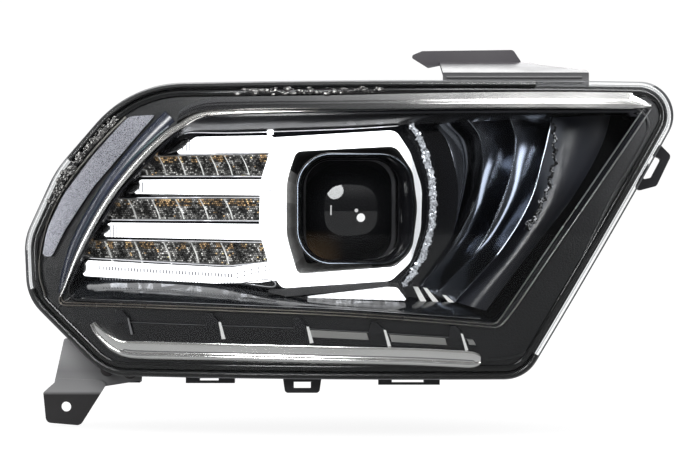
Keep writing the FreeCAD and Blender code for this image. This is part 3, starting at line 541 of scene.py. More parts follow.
# colour, roughness, depth of the grain in mm, scale and stretch of the grain, spread of the tone
METALS = {
    "satin_chrome": ((0.60, 0.58, 0.545), 0.24, 0.01, 700.0, (0.15, 1, 1)),
    "black_chrome": ((0.135, 0.145, 0.165), 0.13, 0.01, 60.0),
    "bright_chrome": ((0.78, 0.78, 0.78), 0.09, 0.005, 60.0),
    "reflector_grey": ((0.50, 0.49, 0.47), 0.38, 0.02, 900.0),
    "zinc_steel": ((0.60, 0.59, 0.55), 0.28, 0.02, 800.0, None, 0.15),
    "pin_brass": ((0.75, 0.66, 0.44), 0.22, 0.01, 500.0),
    "driver_case": ((0.52, 0.53, 0.54), 0.45, 0.10, 350.0, None, 0.12),
    "die_cast": ((0.10, 0.10, 0.105), 0.42, 0.12, 300.0),
    "shutter_steel": ((0.16, 0.16, 0.165), 0.42, 0.04, 500.0),
    "fleck": ((0.16, 0.155, 0.15), 0.25, 0.02, 300.0, None, 0.6),
    "cream_chrome": ((0.42, 0.40, 0.365), 0.30, 0.02, 220.0, None, 0.25),
    "line_grey": ((0.36, 0.36, 0.37), 0.3, 0.02, 300.0, None, 0.2),
    "line_dark": ((0.16, 0.165, 0.18), 0.25, 0.02, 300.0, None, 0.3),
    "edge_chrome": ((0.20, 0.215, 0.24), 0.16, 0.01, 200.0, None, 0.4),
    "edge_blue": ((0.40, 0.46, 0.54), 0.22, 0.01, 60.0, None, 0.45),
    "blade_chrome": ((0.84, 0.83, 0.81), 0.13, 0.004, 60.0, (0.1, 1, 1), 0.05),
}
# tint, roughness, refractive index, body, wave depth
CLEARS = {
    "clear_lens": ((0.985, 0.99, 0.992), 0.0, 1.16),
    "bulb_glass": ((0.97, 0.97, 0.95), 0.01, 1.47),
    "marker_optic": ((0.80, 0.83, 0.86), 0.08, 1.55, 0.16, 0.9),
}
# strength, optic cuts, their depth, darkest part
GUIDES = {
    "light_guide": (HALO_GLOW,),
    "guide_soft": (1.05, 40.0, 0.35, 0.75),
}
LOOKS = {}


def fill(make, table):
    """Makes a look for each row of a table."""
    for name, values in table.items():
        LOOKS[name] = make(name, *values)


fill(plastic, PLASTICS)
fill(metal, METALS)
fill(clear, CLEARS)
fill(lit, GUIDES)


def make_flake():
    """Silver paint with coarse flakes, each turned its own way."""
    look = Look("flake_silver", (0.45, 0.46, 0.48), 0.34, 0.85)
    flake = look.cells(2300.0, "Color")
    tone = look.ramp(flake, [(0.15, (0.19, 0.19, 0.215)), (0.5, (0.32, 0.32, 0.355)),
                             (0.85, (0.52, 0.52, 0.57))])
    look.color(tone)
    look.rough(flake, 0.25, 0.5, 0.2, 0.8)
    look.bump(flake, 0.03, 0.6)
    return look


def make_mesh_chrome():
    """Dark plated floor of the reflector trays, finely mottled."""
    look = Look("mesh_chrome", (0.05, 0.05, 0.052), 0.25, 0.7)
    look.color(look.ramp(look.noise(260.0, 3.0), [(0.35, (0.012, 0.012, 0.013)),
                                                  (0.75, (0.10, 0.098, 0.092))]))
    look.rough(look.noise(90.0, 2.0), 0.18, 0.40)
    look.bump(look.cells(620.0), 0.3)
    return look


def make_facets():
    """Cut facets whose sparkle is painted: a tone for each cell, which also glows."""
    look = Look("facet_chrome", (0.6, 0.61, 0.63), 0.12, 0.9)
    cell = look.cells(260.0, "Color", (1.0, 0.4, 0.7))
    tone = look.ramp(cell, [(0.2, (0.16, 0.17, 0.19)), (0.5, (0.5, 0.51, 0.53)),
                            (0.75, (0.95, 0.95, 0.97))])
    look.color(tone)
    look.bump(cell, 0.9, 0.7)
    # painted glow: the cell tones are emitted as well
    look.glow(tone, 0.28)
    return look


def make_projector_glass():
    """Dark glass; a warm glow painted into its colour and its emission stands in for the bowl behind, over
    its lower outboard corner.
    """
    look = Look("projector_glass", (0.004, 0.0045, 0.005), 0.01)
    look.set("IOR", 1.62)
    # painted glow: a warm patch over the lower outboard corner, in both the base colour and the emission
    across = look.range(look.split("X"), 1.0, 0.0, 0.204, 0.236)
    low = look.range(look.split("Z"), 1.0, 0.0, 0.128, 0.150)
    patchy = look.range(look.noise(60.0, 2.0), 0.7, 1.0)
    veil = look.math("MULTIPLY", look.math("MULTIPLY", across, low), patchy)
    look.color(look.ramp(veil, [(0.0, (0.004, 0.0042, 0.0048)), (1.0, (0.075, 0.046, 0.022))]))
    painted_bowl_glow = look.ramp(veil, [(0.0, (0.0, 0.0, 0.0)), (1.0, (0.050, 0.030, 0.014))])
    look.glow(painted_bowl_glow, 0.6)
    look.link(look.range(look.noise(25.0, 2.0), 0.005, 0.02), look.shader.inputs["Roughness"])
    return look


def make_halo_guide():
    """The lit ring; its far arm, farthest from the light source, is weaker."""
    look = lit("halo_guide", HALO_GLOW, floor=0.86)
    strength = look.range(look.split("X"), HALO_GLOW, 0.03 * HALO_GLOW, 0.281, 0.292)
    look.link(strength, look.shader.inputs["Emission Strength"])
    return look


LOOKS["flake_silver"] = make_flake()
LOOKS["halo_guide"] = make_halo_guide()
LOOKS["mesh_chrome"] = make_mesh_chrome()
LOOKS["facet_chrome"] = make_facets()
LOOKS["guide_optic"] = LOOKS["facet_chrome"]
LOOKS["projector_glass"] = make_projector_glass()


def vertex_metal(name, rough, metal_part, glow):
    """Facets whose painted light and shade is stored face by face; they also glow with it."""
    look = Look(name, (0.5, 0.5, 0.5), rough, metal_part)
    tone = look.node("ShaderNodeVertexColor", layer_name="shade")
    veil = look.noise(240.0, 2.0)
    glint_mottle = look.ramp(veil, [(0.35, (0.55, 0.55, 0.55)), (0.65, (1.0, 1.0, 1.0))])
    shade = look.multiply(tone.outputs["Color"], glint_mottle, 0.5)
    look.color(shade)
    look.bump(look.noise(500.0, 2.0), 0.05)
    # painted glow: the stored light and shade is emitted as well
    look.glow(shade, glow)
    return look


def fade(name, axis, stops, rough, metal_part, grain=0.02, scale=300.0, stretch=None):
    """A colour that shifts along one axis of the part; stops are (millimetres, colour). Several rows of
    FADES paint reflections, light and shade this way.
    """
    look = Look(name, (0.1, 0.1, 0.1), rough, metal_part)
    low, high = stops[0][0], stops[-1][0]
    spot = look.range(look.split(axis), 0.0, 1.0, low * MM, high * MM)
    look.color(look.ramp(spot, [((at - low) / (high - low), color) for at, color in stops]))
    look.bump(look.noise(scale, 2.0, stretch), grain)
    look.rough(look.noise(20.0, 2.0), rough * 0.8, rough * 1.2)
    return look


# axis, stops of (mm, colour), roughness, metal part, depth of the grain, its scale, its stretch
FADES = {
    # painted reflection: the bead is darkest at its low end and brightest near z 200
    "bead_chrome": ("Z", [(95.0, (0.25, 0.245, 0.24)), (150.0, (0.46, 0.46, 0.46)),
                          (200.0, (0.62, 0.61, 0.59)), (245.0, (0.55, 0.53, 0.50))], 0.22, 0.9),
    "line_chrome": ("X", [(0.0, (0.36, 0.32, 0.28)), (240.0, (0.34, 0.31, 0.27)),
                          (350.0, (0.30, 0.29, 0.275)), (480.0, (0.40, 0.40, 0.40))], 0.3, 0.7),
    # painted reflection: dark at the outboard end, brightening toward the inboard end
    "strip_chrome": ("X", [(98.0, (0.16, 0.16, 0.165)), (190.0, (0.24, 0.24, 0.24)),
                           (270.0, (0.42, 0.415, 0.41)), (370.0, (0.62, 0.61, 0.59)),
                           (488.0, (0.76, 0.75, 0.73))], 0.22, 0.9, 0.02, 160.0, (0.05, 1, 1)),
    "sheen_line": ("Z", [(115.0, (0.22, 0.23, 0.26)), (170.0, (0.20, 0.30, 0.34)),
                         (190.0, (0.16, 0.16, 0.40)), (205.0, (0.15, 0.34, 0.36)),
                         (225.0, (0.38, 0.50, 0.50)), (240.0, (0.5, 0.48, 0.58))], 0.2, 0.85),
    # painted light and shade: lightest along the low back edge, near black at the front
    "ledge_gloss": ("Z", [(229.0, (0.10, 0.10, 0.105)), (236.0, (0.06, 0.06, 0.063)),
                          (240.0, (0.022, 0.022, 0.025)), (246.0, (0.008, 0.008, 0.009))], 0.24, 0.1,
                    0.10, 40.0, (0.3, 1, 1)),
    # painted light and shade by height: lightest at the foot of the front flange, near black above it, a
    # touch darker again along the lip
    "bracket_paint": ("Z", [(262.0, (0.24, 0.24, 0.245)), (281.0, (0.055, 0.055, 0.058)),
                            (287.0, (0.075, 0.075, 0.078)), (290.8, (0.085, 0.085, 0.09)),
                            (291.6, (0.060, 0.056, 0.062)), (305.0, (0.070, 0.066, 0.072))], 0.42, 0.0,
                      0.05, 1200.0),
    "bracket_lower": ("Z", [(-16.0, (0.014, 0.013, 0.014)), (10.0, (0.018, 0.017, 0.018)),
                            (13.0, (0.34, 0.34, 0.345)), (30.0, (0.26, 0.26, 0.265)),
                            (58.0, (0.60, 0.60, 0.61))], 0.5, 0.0, 0.10, 1300.0),
}
# roughness, metal part, strength of the painted glow
FACETS = {
    "pocket_facets": (0.25, 0.30, 0.85),
    "arc_facets": (0.14, 0.6, 0.40),
    "facet_wall": (0.3, 0.3, 0.15),
    "crystal": (0.12, 0.5, 0.25),
}
fill(fade, FADES)
fill(vertex_metal, FACETS)
LOOKS["ledge_streaks"].bump(LOOKS["ledge_streaks"].noise(110.0, 4.0, (0.06, 1.0, 1.6)), 0.30)
# wall_bright's emission is painted light: it makes the pocket walls, the louvres and most blade rib edges
# glow
for name, color, strength in (("optic_cut", (0.50, 0.51, 0.56, 1.0), 0.34),
                              ("wall_bright", (0.9, 0.9, 0.88, 1.0), 0.30)):
    LOOKS[name].set("Emission Color", color)
    LOOKS[name].set("Emission Strength", strength)


def mat(name):
    """The Blender material of a look."""
    return LOOKS[name].mat


OWN_LOOK = {"lower_bracket": "bracket_lower", "bracket_screws": "tab_paint"}


def dress_nodes():
    """Every CAD node gets the finish of its slot."""
    for entry in frame["record"]["subparts"]:
        obj = NODES[entry["node"]]
        look = mat(OWN_LOOK.get(entry["node"], entry["material_slot"]))
        if not obj.material_slots:
            obj.data.materials.append(look)
        for held in obj.material_slots:
            held.material = look


# ------------------------------------------------------------------ outlines

OUTLINE = [(60.0, 270.5, 98.0), (-4.0, 200.0, 90.0), (-32.0, 143.0, 46.0), (-30.0, 93.0, 40.0),
           (38.0, 29.0, 46.0), (383.0, 29.0, 30.0), (526.0, 271.0, 27.0)]
OUTLINE_LOOP = outline(OUTLINE, 24, 4.0)
LENS_FRONT = -60.0
LENS_BACK = -40.0
LENS_BALL = 62.0
LENS_ROUND = 20.0
HALO_OUT = [(170.5, 225.0, 2.0), (278.0, 231.0, 9.0), (290.0, 213.1, 30.0), (299.5, 184.0, 40.0),
            (298.5, 150.0, 40.0), (290.6, 124.0, 16.0), (274.0, 108.5, 10.0), (185.6, 102.4, 6.0),
            (174.0, 118.0, 4.0), (174.4, 123.0, 1.0), (169.4, 139.5, 3.0), (166.9, 155.0, 8.0),
            (167.4, 178.0, 8.0),
            (169.0, 193.5, 3.0), (175.4, 213.8, 1.0)]
HALO_IN = [(197.0, 214.0, 6.0), (278.5, 218.0, 10.0), (292.0, 197.0, 24.0), (295.8, 168.0, 60.0),
           (291.5, 133.0, 24.0),
           (278.0, 120.0, 12.0), (198.2, 113.9, 5.0), (189.0, 145.0, 50.0), (189.0, 190.0, 50.0)]
BARS = {
    "upper_light_bar": [(95.0, 213.0, 1.5), (113.5, 226.6, 4.0), (178.0, 227.2, 0.0), (178.0, 214.0, 0.0)],
    "second_light_bar": [(60.0, 180.2, 2.0), (66.5, 191.6, 2.0), (171.0, 191.2, 0.0), (171.0, 178.3, 0.0)],
    "third_light_bar": [(34.5, 144.3, 2.0), (39.5, 156.0, 2.0), (172.0, 154.6, 0.0), (172.0, 141.6, 0.0)],
    "lower_light_bar": [(16.2, 111.5, 2.0), (20.5, 124.4, 2.0), (141.6, 118.8, 30.0), (176.0, 124.0, 4.0),
                        (188.0, 110.0, 4.0), (168.0, 107.0, 10.0), (130.1, 106.0, 40.0),
                        (57.1, 109.4, 20.0)],
}
# each domed pod: x, z, half length, half height, lean in degrees
BAR_PODS = [(98.6, 219.6, 10.8, 4.0, 32.0), (60.9, 184.9, 6.8, 3.9, 36.0), (35.6, 150.6, 5.4, 3.9, 30.0),
            (17.0, 118.6, 3.2, 5.0, 0.0)]
# each tray: its corners, and where its leaning walls stand
POCKETS = {
    "upper": ([(62.5, 195.0, 1.5), (78.0, 211.6, 2.0), (150.0, 212.4, 10.0), (179.0, 213.4, 2.0),
               (175.0, 194.0, 2.0)],
              (71.0, 87.0, 103.5, 119.0, 131.0, 143.0, 157.0)),
    "middle": ([(35.5, 158.8, 1.5), (48.0, 176.4, 2.0), (173.0, 176.2, 2.0), (172.0, 157.6, 2.0)],
               (61.5, 81.8, 102.3, 123.0, 143.4)),
    "lower": ([(15.5, 127.0, 1.5), (25.5, 141.6, 2.0), (174.0, 139.4, 2.0), (178.0, 124.2, 2.0),
               (141.0, 120.6, 12.0)],
              (40.8, 66.6, 91.6, 115.0, 140.0)),
}


def line(points, step=3.0):
    """A smooth run through the points, evenly spaced."""
    return resample(smooth(points), step)


def side_of(loop):
    """+1 when the left-hand normal of a closed loop points inward."""
    area = sum(a.x * b.y - b.x * a.y for a, b in zip(loop, loop[1:] + loop[:1]))
    return 1.0 if area > 0 else -1.0


def paint(obj, shade):
    """Stores a colour for each face; shade(face centre in mm, face number) gives it."""
    layer = obj.data.color_attributes.new("shade", "FLOAT_COLOR", "CORNER")
    for poly in obj.data.polygons:
        tone = shade(poly.center / MM, poly.index)
        for corner in poly.loop_indices:
            layer.data[corner].color = (*tone, 1.0)
    return obj


def chance(*key):
    """A repeatable number from 0 to 1 for any place."""
    value = math.sin(sum(k * w for k, w in zip(key, (12.9898, 78.233, 37.719)))) * 43758.5453
    return value - math.floor(value)


# ------------------------------------------------------------------ rim, bezel and trims

def make_rim():
    """Gloss black lip just inside the cover's edge, and the low ridge beside it."""
    sign = side_of(OUTLINE_LOOP)
    profile = [(5.0, 13.5), (5.0, 8.6), (5.6, 6.6), (6.8, 5.4), (8.6, 5.0), (10.4, 5.4), (11.4, 6.2),
               (12.0, 7.4), (12.0, 13.5)]
    sweep("rim_lip", OUTLINE_LOOP, [(off * sign, gap) for off, gap in profile], mat("rim_black"),
                  True)
    groove = [(2.0, 12.6), (2.2, 10.6), (3.2, 9.4), (4.2, 10.6), (4.4, 12.6)]
    sweep("rim_gasket", OUTLINE_LOOP, [(off * sign + 1.9 * sign, gap) for off, gap in groove],
                  mat("sealant"), True)
    run = OUTLINE_LOOP
    final = len(run) - 1
    dark = [i for i,
            p in enumerate(run) if not (p.x > 395 and p.y > 40) and not (p.x < 20 and 100 < p.y < 208)]
    breaks = [k for k in range(1, len(dark)) if dark[k] - dark[k - 1] > 1]
    spans = [dark[a:b] for a, b in zip([0] + breaks, breaks + [len(dark)])]
    if len(spans) > 1 and spans[0][0] == 0 and spans[-1][-1] == final:
        spans[0] = spans.pop() + spans[0]
    for number, span in enumerate(spans):
        band = [(0.5, 12.0), (0.5, 5.4), (1.4, 4.2), (3.2, 3.7), (4.3, 4.4), (4.3, 12.0)]
        sweep("edge_seal_%d" % (number + 1), [run[i] for i in span],
                      [(off * sign, gap) for off, gap in band],
                      mat("sealant"))
    ridge = line([(470.0, 252.0), (481.0, 244.5), (484.6, 236.0), (481.5, 224.0), (455.3, 178.8),
                  (425.7, 121.0),
                  (396.0, 66.0), (383.0, 50.5), (366.0, 45.5), (352.0, 45.0)])
    sweep("bezel_ridge", ridge, bead(1.5, 5.9, 7.3), mat("ridge_black"))
    low = line([(12.0, 96.0), (-2.0, 86.0), (-4.0, 78.0), (18.0, 56.0), (34.0, 44.0), (60.0, 38.5),
                (150.0, 37.0)])
    sweep("bezel_low_ridge", low, bead(1.1, 6.2, 7.3), mat("ridge_black"))


def make_flecks():
    """Beads of seal that squeezed out behind the cover's edge, outboard and along the top."""
    run = inset(OUTLINE_LOOP, 8.2)
    spots = [p for p in run if p.x < 46 and 172 < p.y < 262] * 5
    spots += [p for p in run if 150 < p.x < 268 and p.y > 230] * 2
    rows, around = 5, 8
    lumps = []
    for i, p in enumerate(spots):
        size = 0.6 + 1.9 * chance(i, 3.0) ** 2
        cx = p.x + 7.0 * (chance(i, 1.0) - 0.5)
        cz = p.y + 6.0 * (chance(i, 2.0) - 0.5)
        rings = []
        for r in range(rows):
            tilt = math.pi * (r + 0.5) / rows
            ring = []
            for k in range(around):
                turn = 2 * math.pi * k / around
                lump = size * (0.7 + 0.6 * chance(i, r, k))
                x = cx + lump * math.sin(tilt) * math.cos(turn) * 1.3
                z = cz + lump * math.sin(tilt) * math.sin(turn)
                ring.append((x, dome(x, z, 5.0) + size * 0.35 * math.cos(tilt), z))
            rings.append(ring)
        lumps.append(loft(rings))
    make_object("seal_flecks", *gather(lumps), mat("fleck"))


def make_side_band():
    """Silver band at the outboard end, the rail outside it and the dark moulding inside it."""
    flake = [(54.0, 239.5, 3.0), (28.0, 211.5, 60.0), (3.0, 180.0, 60.0), (-12.5, 150.0, 60.0),
             (-16.5, 128.0, 3.0),
             (-8.0, 127.5, 3.0), (3.7, 149.9, 60.0), (28.0, 185.0, 60.0), (50.0, 209.5, 60.0),
             (81.0, 244.5, 0.6),
             (60.0, 243.6, 4.0)]
    piece = slab("flake_band", [outline(flake, 6, 3.0)], 5.0, 7.4, mat("flake_silver"), 5.0, 0.6)
    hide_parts("side_trim_band")
    rail = line([(56.0, 243.0), (40.0, 228.0), (22.0, 208.5), (2.0, 183.0), (-11.0, 158.0),
                 (-18.0, 133.0), (-19.0, 112.0),
                 (-14.0, 94.0)])
    sweep("flake_band_rail", rail, bead(1.3, 4.6, 7.2), mat("cream_chrome"),
                  scale=lambda t: 1.15 - 0.5 * t)
    path = line([(93.5, 243.0), (75.5, 225.5), (51.0, 198.5), (30.5, 170.0), (14.0, 141.0), (5.0, 117.0),
                 (0.5, 97.0)])
    scoop = [(-8.6, 8.0), (-8.6, 6.6), (-6.6, 5.7), (-3.6, 5.1), (-0.4, 4.9), (3.0, 5.2), (6.0, 6.0),
             (7.6, 6.8), (7.6, 8.0)]
    sweep("band_scoop", path, scoop, mat("band_gloss"),
                  scale=lambda t: 0.74 - 0.34 * t, sharp=60.0)
    fine = line([(92.5, 235.0), (79.6, 224.5), (60.0, 206.5), (42.7, 185.9), (26.0, 161.0), (13.0, 137.0),
                 (5.5, 118.0)])
    sweep("band_sheen_line", fine, bead(0.9, 5.0, 6.6, 5), mat("sheen_line"))


def make_window_trim():
    """Bright bead round the window: broad outboard, fine along the bottom and the inboard edge."""
    path = line([(215.0, 245.9), (160.0, 245.9), (134.0, 245.6), (120.0, 244.2), (110.5, 240.6),
                 (101.9, 235.0), (89.8, 227.3), (69.5, 208.6), (47.0, 182.8), (29.0, 155.9),
                 (14.0, 127.9), (4.0, 104.7), (-1.2, 94.0)], 2.5)
    bow = [(-3.4, 8.0), (-3.4, 6.6), (-2.4, 5.0), (-0.6, 4.0), (1.2, 3.9), (2.6, 4.8), (3.3, 6.4),
           (3.3, 9.0)]
    sweep("window_bead", path, bow, mat("bead_chrome"),
                  scale=lambda t: min(0.96, 0.14 + 1.9 * t) * min(1.0, 0.55 + 3.0 * (1.0 - t)))
    corner = [(-1.2, 94.0), (-1.6, 90.0), (1.0, 87.6), (8.0, 87.0)]
    low = line(corner + [(60.0, 86.4), (150.0, 83.8), (233.0, 80.7), (300.0, 76.2), (352.0, 71.6),
                         (360.0, 71.6),
                         (365.5, 75.6), (376.0, 89.5), (412.0, 142.0), (452.0, 199.0), (487.0, 248.5)], 2.5)
    sweep("window_line_outer", low, bead(0.75, 4.9, 6.9, 6), mat("line_chrome"))
    near = line([(0.6, 96.0), (0.4, 91.6), (2.6, 89.6), (8.0, 89.3), (60.0, 88.6), (150.0, 86.2),
                 (233.0, 83.1), (300.0, 78.6),
                 (351.0, 74.2), (357.0, 74.2), (361.8, 77.8), (371.6, 92.0), (407.4, 144.6), (447.0, 201.0),
                 (481.0, 249.0)], 2.5)
    sweep("window_line_inner", near, bead(0.6, 5.2, 6.9, 6), mat("line_chrome"))
    gap = line([(4.0, 88.2), (60.0, 87.5), (150.0, 85.0), (233.0, 81.9), (300.0, 77.4), (352.0, 72.9),
                (359.0, 73.0),
                (363.7, 76.7), (373.8, 90.7), (409.7, 143.3), (449.5, 200.0), (484.0, 248.8)], 2.5)
    sweep("window_line_gap", gap, [(-1.2, 8.4), (-1.2, 6.6), (1.2, 6.6), (1.2, 8.4)],
                  mat("frame_black"))


def make_upper_strip():
    """Stepped bright moulding along the top: a sloped face over two fine flutes, cut to a point inboard."""
    top = [(101.0, 247.0), (106.0, 251.0), (116.0, 255.2), (132.0, 258.2), (175.0, 258.6), (233.0, 258.9),
           (311.0, 260.5),
           (389.0, 261.8), (466.0, 262.2), (471.0, 260.4), (487.6, 252.4)]
    low = [(99.0, 237.6), (105.0, 241.4), (113.5, 245.0), (127.0, 247.0), (174.0, 247.3), (233.0, 247.2),
           (311.0, 247.0),
           (389.0, 247.6), (455.0, 248.0), (476.0, 248.6), (486.6, 250.4)]
    steps = [(0.0, 9.0), (0.0, 5.8), (0.02, 5.0), (0.20, 4.6), (0.40, 4.3), (0.43, 4.9), (0.48, 4.9),
             (0.51, 3.8), (0.60, 3.7),
             (0.63, 4.6), (0.67, 4.6), (0.70, 3.8), (0.90, 4.1), (0.97, 5.0), (1.0, 6.5), (1.0, 9.0)]
    a = resample(smooth(top), 3.0)
    b = resample(smooth(low), 3.0)
    count = 130
    rings = []
    for i in range(count + 1):
        p = a[round(i * (len(a) - 1) / count)]
        q = b[round(i * (len(b) - 1) / count)]
        rings.append(on_cover([(*p.lerp(q, t), gap) for t, gap in steps]))
    # strip_chrome paints a reflection along the strip: dark at the outboard end, bright inboard
    strip = make_object("upper_strip", *loft(rings), mat("strip_chrome"), sharp=25.0)
    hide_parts("upper_trim_strip")


def ruled(name, near, far, material, near_gap, far_gap, sag, rows=8):
    """A thin curved sheet from one line at the front to another set deeper."""
    count = max(len(near), len(far))
    a = [near[min(len(near) - 1, round(i * (len(near) - 1) / (count - 1)))] for i in range(count)]
    b = [far[min(len(far) - 1, round(i * (len(far) - 1) / (count - 1)))] for i in range(count)]
    verts = []
    for back in (0.0, SHEET):
        for p, q in zip(a, b):
            for r in range(rows + 1):
                t = r / rows
                spot = p.lerp(q, t)
                gap = near_gap + (far_gap - near_gap) * t + sag * math.sin(math.pi * t) + back
                verts.append((spot.x, dome(spot.x, spot.y, gap), spot.y))
    wide = rows + 1
    layer = count * wide
    faces = []
    for i in range(count - 1):
        for r in range(rows):
            k = i * wide + r
            faces.append([k, k + 1, k + wide + 1, k + wide])
            faces.append([layer + k, layer + k + wide, layer + k + wide + 1, layer + k + 1])
    for i in range(count - 1):
        for k, flip in ((i * wide, False), (i * wide + rows, True)):
            quad = [k, k + wide, layer + k + wide, layer + k]
            faces.append(quad[::-1] if flip else quad)
    for r in range(rows):
        for k, flip in ((r, True), ((count - 1) * wide + r, False)):
            quad = [k, k + 1, layer + k + 1, layer + k]
            faces.append(quad if flip else quad[::-1])
    return make_object(name, verts, faces, material, sharp=40.0)


def make_ledges():
    """The sloped ceiling and floor of the window, which run back to the lights."""
    front = line([(111.0, 240.5), (122.0, 243.4), (150.0, 244.0), (233.0, 243.6), (330.0, 244.0),
                  (400.0, 245.5)])
    back = line([(98.0, 226.5), (110.0, 230.0), (150.0, 230.4), (233.0, 232.6), (285.0, 235.4),
                 (400.0, 241.0)])
    ruled("upper_ledge", front, back, mat("ledge_gloss"), 9.0, 25.0, -3.0)
    rail = line([(104.0, 229.6), (112.0, 230.6), (150.0, 230.0), (233.0, 232.2), (280.0, 234.8)])
    sweep("upper_ledge_rail", rail, bead(0.7, 22.6, 25.4, 6), mat("line_grey"))
    nub = [(173.2, 231.6, 0.8), (178.4, 231.8, 0.8), (178.4, 227.8, 0.8), (173.2, 227.6, 0.8)]
    slab("halo_nub", [rounded(nub, 4)], 21.8, 26.0, mat("light_guide"), 3.0, 0.5)
    front = line([(4.5, 93.2), (60.0, 91.4), (150.0, 88.6), (233.0, 85.4), (300.0, 81.0), (353.0, 76.8)])
    back = line([(11.0, 107.0), (60.0, 107.6), (130.0, 104.0), (200.0, 95.4), (290.0, 92.0), (322.0, 91.0)])
    ruled("lower_ledge", front, back, mat("ledge_streaks"), 9.0, 33.0, -4.0, 10)
    lip = line([(18.0, 92.6), (60.0, 91.6), (150.0, 88.9), (233.0, 85.8), (300.0, 81.6), (346.0, 78.2)])
    sweep("lower_ledge_line", lip, bead(0.35, 8.0, 9.4, 5), mat("line_grey"))


# ------------------------------------------------------------------ lights and optics

def make_lights():
    """Halo, four bars, their optic cuts and the domed pods at their ends."""
    outer = outline(HALO_OUT, 10, 3.0)
    inner = outline(HALO_IN, 10, 3.0)
    halo = slab("halo_ring", [outer, inner], 24.0, 31.5, mat("halo_guide"), 5.0, 1.6)
    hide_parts("halo_light_guide")
    for name, corners in BARS.items():
        bar = slab(name.replace("light_bar", "bar_guide"), [outline(corners, 8, 2.5)],
                   24.4, 32.0, mat("light_guide"), 5.0, 1.4)
        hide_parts(name)
    verts = []
    faces = []

    def tick(x0, z0, x1, z1, half, gap):
        """One optic cut: a thin block from one point to the other."""
        way = Vector((x1 - x0, z1 - z0)).normalized() * half
        corners = [(x0 - way.y, z0 + way.x), (x0 + way.y, z0 - way.x), (x1 + way.y, z1 - way.x),
                   (x1 - way.y, z1 + way.x)]
        first = len(verts)
        for deep in (gap, gap + 1.0):
            verts.extend(on_cover([(x, z, deep) for x, z in corners]))
        faces.append([first, first + 1, first + 2, first + 3])
        faces.append([first + 7, first + 6, first + 5, first + 4])
        for k in range(4):
            j = (k + 1) % 4
            faces.append([first + k, first + 4 + k, first + 4 + j, first + j])

    for x, low, high, count in ((103.0, 214.6, 225.0, 5), (66.0, 181.0, 190.4, 2), (41.0, 144.2, 154.8, 5)):
        for k in range(count):
            tick(x + 2.9 * k, low, x + 2.9 * k, high - 0.6 * k, 0.50 - 0.05 * k, 23.6)
    count = 42
    for k in range(count):
        t = k / (count - 1)
        x = 32.0 + 112.0 * t
        z = 118.3 - 5.8 * t
        tick(x, z - 1.6, x, z + 1.6, 0.62, 23.6)
    for k in range(11):
        x = 146.0 + 2.9 * k
        z = 112.6 + 0.75 * k
        for low in (-3.0, 0.2):
            tick(x, z + low, x, z + low + 1.6, 0.5, 23.6)
    for k in range(46):
        x = 33.0 + 2.5 * k
        z = 109.2 - 0.022 * (x - 33.0)
        tick(x, z - 0.7, x, z + 0.7, 0.4, 23.6)
    for k in range(26):
        z = 204.0 - 3.1 * k
        x = 180.5 - 7.0 * math.sin(math.pi * (204.0 - z) / 90.0)
        tick(x - 1.8, z, x + 1.8, z - 0.3, 0.32, 23.3)
    make_object("bar_optic_cuts", verts, faces, mat("optic_cut"))
    pods = []
    rows, around = 7, 28
    for x, z, long, short, lean in BAR_PODS:
        turn = math.radians(lean)
        rings = []
        for r in range(rows):
            size = math.cos(math.pi / 2 * r / rows)
            deep = 24.5 - 4.5 * math.sin(math.pi / 2 * r / rows)
            ring = []
            for k in range(around):
                angle = 2 * math.pi * k / around
                u = long * size * math.cos(angle)
                v = short * size * math.sin(angle)
                px = x + u * math.cos(turn) - v * math.sin(turn)
                pz = z + u * math.sin(turn) + v * math.cos(turn)
                ring.append((px, dome(px, pz, deep), pz))
            rings.append(ring)
        pods.append(loft(rings))
    make_object("bar_end_pods", *gather(pods), mat("pod_gloss"), sharp=60.0)
    drop = line([(152.0, 106.4), (170.1, 109.4), (177.1, 108.6), (180.2, 105.6), (177.5, 103.2),
                 (165.8, 104.3), (153.0, 106.2)], 1.5)
    sweep("lower_bar_loop", drop, bead(0.5, 23.0, 24.6, 6), mat("line_grey"))


# painted shade: the share of light for each of the four sides of a facet cell
FACET_SIDE_SHADE = (0.30, 0.75, 1.35, 0.95)


